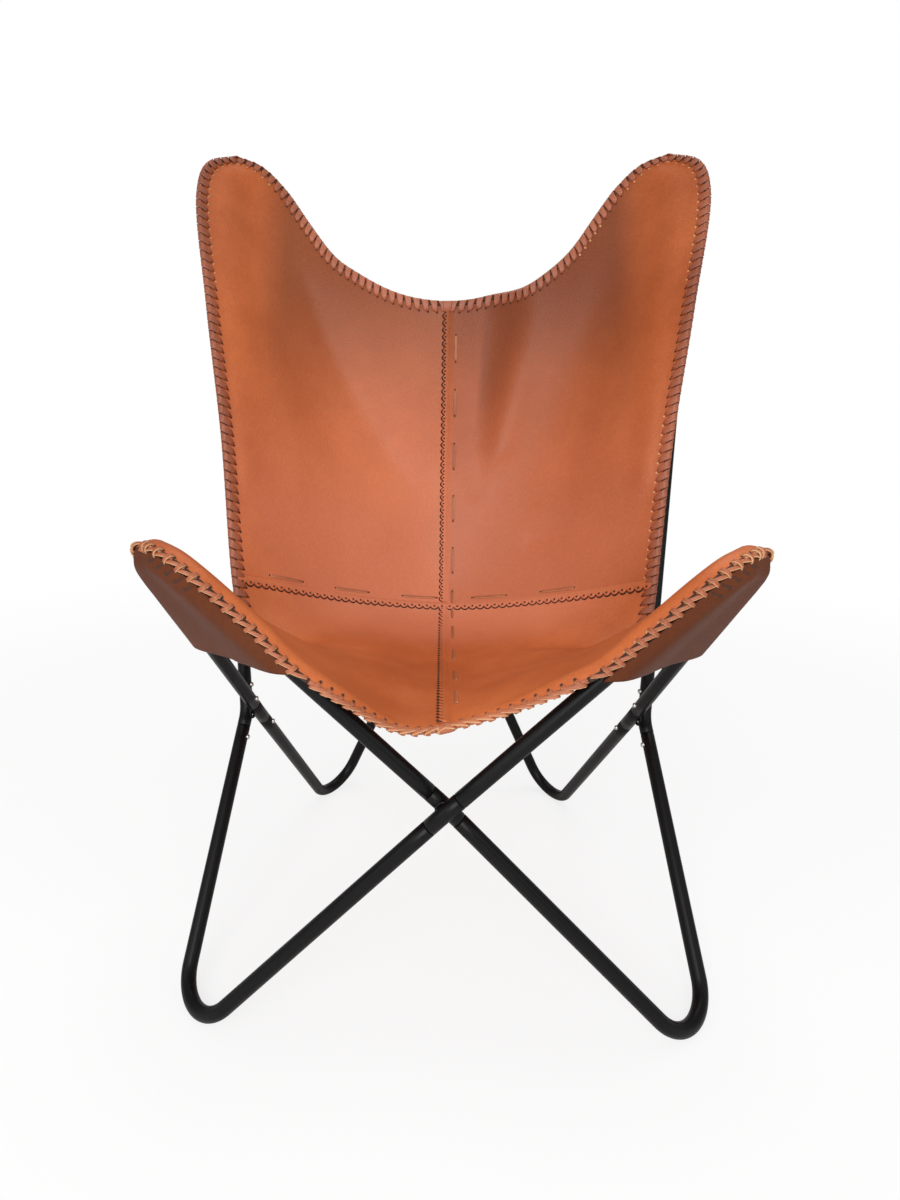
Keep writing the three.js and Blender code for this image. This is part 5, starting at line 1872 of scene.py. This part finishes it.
    def _hole(self, mesh: Mesh, side: Side, edge: Edge, s: float, inboard: float) -> None:
        """A punched hole beside a stitch: a pit with a rim, painted shade in it, and painted light where
        daylight shows through.

        Args:
            mesh: Where it goes.
            side: The side of the chair.
            edge: The edge.
            s: Its share along the edge.
            inboard: How far in from the end of the hem it is.
        """
        lift, probe = self.sizes.leather / 2, self.PROBE
        centre, top, inner = self.halves[side].profile(
            edge, np.full(3, s), np.array([inboard, inboard, inboard + 2 * probe]),
            np.array([lift, lift + probe, lift]))
        in_ear = edge is not Edge.FRONT and s > self.EAR_DAYLIGHT
        daylight = in_ear or side is Side.RIGHT and CREASE_V < s < self.SIDE_DAYLIGHT
        spot = (self.on_side(side, a) for a in (centre, unit(top - centre), unit(inner - centre)))
        self._pit(mesh, *spot, self.PAINTED_SHADE_RADIUS, Skin.RAW if daylight else Skin.PAINTED_SHADE)

    def _pit(self, mesh: Mesh, centre: Array, up: Array, aside: Array, radius: float,
             slot: Skin = Skin.PAINTED_SHADE, rim: Skin = Skin.TAN) -> None:
        """A small round pit with a soft rim.

        Args:
            mesh: Where it goes.
            centre: Its centre, on the leather's face.
            up: The leather's normal.
            aside: A direction along the face.
            radius: Its radius.
            slot: The skin of its bottom: painted shade by default.
            rim: The skin of its rim.
        """
        rings = [ring(centre + up * height, aside, np.cross(up, aside), radius * share, self.PIT_SIDES)
                 for share, height in self.PIT_RINGS]
        mesh.add_rings(np.vstack(rings), self.PIT_SIDES,
                       [rim] * (2 * self.PIT_SIDES) + [slot] * (self.PIT_SIDES + 2))

    def build_edge_lacing(self) -> list[Piece]:
        """The thong lacing along all the edges.

        Returns:
            The pieces.
        """
        pieces = []
        for side in Side:
            half = self.halves[side]
            mesh = Mesh()
            self._lace(mesh, side, Edge.SIDE, self.SIDE_START, half.arm_side_end, TIP_BRAID)
            self._lace(mesh, side, Edge.SIDE, half.arm_side_end, self.EDGE_END, COMB)
            self._tip_gusset(mesh, side)
            pieces.append(self._thong_piece(mesh, f"{side.value}_edge_thong", f"{side.value}_edge_lacing"))
        front, top = Mesh(), Mesh()
        for side in Side:
            pocket_start = self.halves[side].front_roll
            self._lace(front, side, Edge.FRONT, 0.0, pocket_start, BRAID)
            self._lace(front, side, Edge.FRONT, pocket_start, self.EDGE_END, LAP_BRAID)
            self._pocket_shadow_legs(front, side)
            self._lace(top, side, Edge.TOP, 0.0, self.EDGE_END, COMB)
        for mesh, edge, style in ((front, Edge.FRONT, BRAID), (top, Edge.TOP, COMB)):
            measured = self.halves[Side.RIGHT].edge_length(edge, -self.MIDDLE_TURN, self.MIDDLE_TURN)
            stretch = Stretch(Side.RIGHT, edge, *measured)
            self._strands(mesh, stretch, stretch.lengths[-1:] / 2, style.pitch, style.middle_turn())
            pieces.append(self._thong_piece(mesh, f"{edge.value}_edge_thong", f"{edge.value}_edge_lacing"))
        return pieces

    def _flap(self, mesh: Mesh, line: Array, normals: Array, across: Array, flap: FlapStyle) -> None:
        """A scalloped flap along a seam, with a punched eye in each scallop.

        Args:
            mesh: Where it goes.
            line: The seam's line on the leather's face.
            normals: The leather's normals along it.
            across: The direction across the seam along it, away from the scallops.
            flap: The flap's sizes.
        """
        lengths = run_lengths(line)
        length, steps = lengths[-1], flap.STEPS
        count = max(int(length / flap.pitch), 1)
        samples = np.linspace(0, length, count * steps + 1)
        place, up, aside = (pick(lengths, a, samples) for a in (line, normals, across))
        up, aside = unit(up), unit(aside)
        bow = np.abs(np.sin(math.pi * samples / length * count)) ** flap.ROUNDING
        edge = -(flap.root + flap.scallop * bow)
        sections = flap.sections(edge)
        points = np.stack([place + aside * (np.ones_like(edge) * shift)[:, None] + up * height
                           for shift, height in sections], axis=1).reshape(-1, 3)
        sides = len(sections)
        # The band past the scalloped edge is painted shade, a shadow line; the rest is tan.
        slots = [Skin.PAINTED_SHADE if k % sides == SHADOW_BAND_SIDE else Skin.TAN
                 for k in range((len(samples) - 1) * sides)]
        mesh.add_rings(points, sides, slots + [Skin.TAN] * 2)
        eye_in, eye_up = flap.EYE_SHARES
        # Each eye is a pit with painted shade in it.
        for i in range(steps // 2, len(samples), steps):
            centre = place[i] + aside[i] * edge[i] * eye_in + up[i] * flap.rise * eye_up
            self._pit(mesh, centre, up[i], aside[i], flap.eye)

    def _backing(self, mesh: Mesh, line: Array, normals: Array) -> None:
        """A flat strip that closes a seam on the back of the leather.

        Args:
            mesh: Where it goes.
            line: The seam's line on the leather's face.
            normals: The leather's normals along it.
        """
        thin = self.sizes.leather / 2
        path = line - normals * (self.sizes.leather + thin / 2)
        width = self.sizes.seam_width * self.BACKING_SHARE
        self._thong(mesh, Side.RIGHT, (path, -normals), width, thin, Skin.TAN, Skin.TAN)

    def _running(self, mesh: Mesh, line: Array, normals: Array, dash: float, gap: float) -> None:
        """Long running stitches of thong along a line on the leather's face.

        Args:
            mesh: Where they go.
            line: The line.
            normals: The leather's normals along it.
            dash: Length of a stitch.
            gap: Length between stitches.
        """
        lengths = run_lengths(line)
        lift = np.full((self.STITCH_STEPS, 1), self.STITCH_LIFT)
        lift[[0, -1]] = self.STITCH_SUNK
        for start in np.arange(gap / 2, lengths[-1] - dash, dash + gap):
            at = np.linspace(start, start + dash, self.STITCH_STEPS)
            up, base = unit(pick(lengths, normals, at)), pick(lengths, line, at)
            self._thong(mesh, Side.RIGHT, (base + up * lift, up), self.STITCH_WIDTH, self.STITCH_THICKNESS,
                        Skin.THONG, Skin.RAW)
            # A pit at each end, with painted shade in it.
            for end in (0, -1):
                aside = unit(np.cross(up[end], base[1] - base[0]))
                self._pit(mesh, base[end], up[end], aside, self.STITCH_PIT)

    def _across(self, us: Array, above: float) -> tuple[Array, Array, Array]:
        """A line across both halves above the crease, on the leather's face.

        Args:
            us: Shares from the centre seam to the side.
            above: How far above the crease it runs.

        Returns:
            The line, the leather's normals along it and the way up the leather.
        """
        runs = []
        for side, order in ((Side.LEFT, us[::-1]), (Side.RIGHT, us[1:])):
            half = self.halves[side]
            step = half.STEP
            climb = half.place(order, CREASE_V + 2 * step) - half.place(order, CREASE_V)
            rate = np.linalg.norm(climb, axis=-1) / (2 * step)
            v = CREASE_V + above / rate
            n = half.normal(order, v)
            rise = unit(half.place(order, v + step) - half.place(order, v - step))
            line = half.place(order, v) + n * self.sizes.leather / 2
            runs.append([self.on_side(side, a) for a in (line, n, rise)])
        return tuple(np.vstack(parts) for parts in zip(*runs))

    def _along(self, aside: float, low: float, high: float) -> tuple[Array, Array]:
        """A line up the right half, on the leather's face.

        Args:
            aside: How far from the centre it runs.
            low: Where it starts, as a share from the front edge to the top edge.
            high: Where it ends.

        Returns:
            The line and the leather's normals along it.
        """
        half = self.halves[Side.RIGHT]
        v = np.linspace(low, high, self.LINE_STEPS)
        span = 8 * half.STEP
        rate = np.linalg.norm(half.place(span, v) - half.place(0.0, v), axis=-1) / span
        u = aside / rate
        n = half.normal(u, v)
        return half.place(u, v) + n * self.sizes.leather / 2, n

    def build_seams(self) -> list[Piece]:
        """The seam flaps and the running stitches beside them.

        Returns:
            The pieces.
        """
        us = np.linspace(0, 1.0, self.LINE_STEPS)
        mesh = Mesh()
        line, ups, rise = self._across(us, 0.0)
        self._flap(mesh, line, ups, rise, CREASE_FLAP)
        self._backing(mesh, line, ups)
        line, ups, _ = self._across(us[us < CREASE_ROW.end], self.ROW_ABOVE)
        self._running(mesh, line, ups, CREASE_ROW.dash, CREASE_ROW.gap)
        row = CROSSING_ROW
        self._running(mesh, *self._along(self.ROW_ASIDE, row.start, row.end), row.dash, row.gap)
        pieces = [self._thong_piece(mesh, "crease_flap", "crease_lacing")]
        for name, row in (("seat", SEAT_ROW), ("back", BACK_ROW)):
            mesh = Mesh()
            line, ups = self._along(0.0, row.start, row.end)
            self._flap(mesh, line, ups, np.tile(vec(1, 0, 0), (len(line), 1)), CENTRE_FLAP)
            self._backing(mesh, line, ups)
            beside = self._along(self.ROW_ASIDE, row.start + row.inset, row.end - row.inset)
            self._running(mesh, *beside, row.dash, row.gap)
            pieces.append(self._thong_piece(mesh, f"{name}_seam_flap", f"{name}_seam_lacing"))
        return pieces

    def build(self) -> int:
        """Builds the whole sling.

        Returns:
            The number of pieces.
        """
        pieces = []
        for side in Side:
            pieces += [self.build_panel(side, name) for name in ("seat_panel", "back_panel")]
            pieces += [self.build_pocket(side, arm) for arm in (True, False)]
        pieces += self.build_edge_lacing()
        pieces += self.build_seams()
        return len(pieces)


@dataclass(frozen=True)
class SoftLight:
    """A square soft light: where it hangs, its side in metres and its power in watts."""

    name: str
    place: Place
    size: float
    power: float


LIGHTS = (
    SoftLight("key", (-0.3, -2.5, 1.5), 1.6, 52.0),
    SoftLight("left fill", (-2.1, -1.7, 1.4), 1.8, 14.0),
    SoftLight("right fill", (2.1, -1.7, 1.4), 1.8, 10.0),
    SoftLight("top", (0.2, 0.6, 3.0), 2.0, 26.0),
)


@dataclass
class Studio:
    """Pale floor, soft light and the camera."""

    position: Place = (-0.00714, -0.92583, 0.6102)
    yaw: float = math.radians(-2.0)
    pitch: float = math.radians(13.3)
    roll: float = math.radians(0.3)
    lens: float = 30.4
    sensor: float = 36.0
    shift: Pair = (0.0397, -0.0176)
    far_clip: float = 60.0
    floor_half: float = 14.0
    floor_colour: Colour = (0.93, 0.93, 0.93)
    floor_rough: float = 0.9
    floor_shine: float = 0.1
    floor_white: float = 0.78
    floor_fade: Pair = (0.5, 2.2)
    surround: Pair = (0.37, 1.0)
    aim: Place = (0.0, 0.0, 0.45)

    def build_camera(self) -> None:
        """Sets the camera where the photograph was taken from."""
        level = math.cos(self.pitch)
        forward = vec(math.sin(self.yaw) * level, math.cos(self.yaw) * level, -math.sin(self.pitch))
        right = unit(np.cross(forward, vec(0, 0, 1)))
        up = np.cross(right, forward)
        cos, sin = math.cos(self.roll), math.sin(self.roll)
        right, up = right * cos + up * sin, up * cos - right * sin
        data = bpy.data.cameras.new("camera")
        data.lens, data.sensor_width, data.sensor_fit = self.lens, self.sensor, "HORIZONTAL"
        data.shift_x, data.shift_y = self.shift
        data.clip_end = self.far_clip
        camera = bpy.data.objects.new("camera", data)
        rows = np.column_stack([right, up, -forward, np.array(self.position)])
        camera.matrix_world = Matrix([*rows.tolist(), [0, 0, 0, 1]])
        bpy.context.scene.collection.objects.link(camera)
        bpy.context.scene.camera = camera

    def build_light(self, light: SoftLight) -> None:
        """Hangs one soft light, aimed at the chair.

        Args:
            light: The light.
        """
        data = bpy.data.lights.new(light.name, "AREA")
        data.shape, data.size, data.energy = "SQUARE", light.size, light.power
        lamp = bpy.data.objects.new(light.name, data)
        lamp.location = light.place
        lamp.rotation_euler = (Vector(self.aim) - Vector(light.place)).to_track_quat("-Z", "Y").to_euler()
        bpy.context.scene.collection.objects.link(lamp)

    def build_world(self) -> None:
        """Plain white surroundings."""
        world = bpy.data.worlds.new("studio")
        bpy.context.scene.world = world
        world.use_nodes = True
        tree = world.node_tree
        rays = add_node(tree, "ShaderNodeLightPath")
        strength = range_node(tree, rays.outputs["Is Camera Ray"], (0.0, 1.0), self.surround)
        feed(tree, tree.nodes["Background"], {"Color": (1.0, 1.0, 1.0), "Strength": strength})

    def build_floor(self) -> None:
        """A pale floor that keeps the chair's shadow."""
        h = self.floor_half
        mesh = bpy.data.meshes.new("floor")
        mesh.from_pydata([(-h, -h, 0), (h, -h, 0), (h, h, 0), (-h, h, 0)], [], [(0, 1, 2, 3)])
        floor = bpy.data.objects.new("floor", mesh)
        bpy.context.scene.collection.objects.link(floor)
        material, tree, shader = bare_material("Pale floor")
        feed(tree, shader, {"Base Color": self.floor_colour, "Roughness": self.floor_rough,
                            "Specular IOR Level": self.floor_shine})
        glow = add_node(tree, "ShaderNodeEmission")
        rays = add_node(tree, "ShaderNodeLightPath")
        where = add_node(tree, "ShaderNodeTexCoord").outputs["Object"]
        far = add_node(tree, "ShaderNodeVectorMath", {0: where}, operation="LENGTH").outputs["Value"]
        fade = range_node(tree, far, self.floor_fade, (self.floor_white, 1.0), SMOOTH)
        share = math_node(tree, "MULTIPLY", rays.outputs["Is Camera Ray"], fade)
        mix = add_node(tree, "ShaderNodeMixShader", {0: share, 1: shader.outputs[0], 2: glow.outputs[0]})
        feed(tree, tree.nodes["Material Output"], {"Surface": mix.outputs[0]})
        mesh.materials.append(material)

    def build(self) -> None:
        """Builds the whole studio."""
        bpy.context.scene.view_settings.view_transform = "Standard"
        self.build_camera()
        self.build_world()
        self.build_floor()
        for light in LIGHTS:
            self.build_light(light)


def main() -> None:
    """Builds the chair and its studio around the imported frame."""
    logging.basicConfig(level=logging.INFO, format="%(name)s: %(message)s")
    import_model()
    materials = Materials()
    frame = TubeFrame()
    LOG.info("frame pieces: %d", frame.build(materials.coat, materials.steel))
    sling = Sling(frame, materials, SlingSizes())
    LOG.info("sling pieces: %d", sling.build())
    Studio().build()


if __name__ == "__main__":
    main()
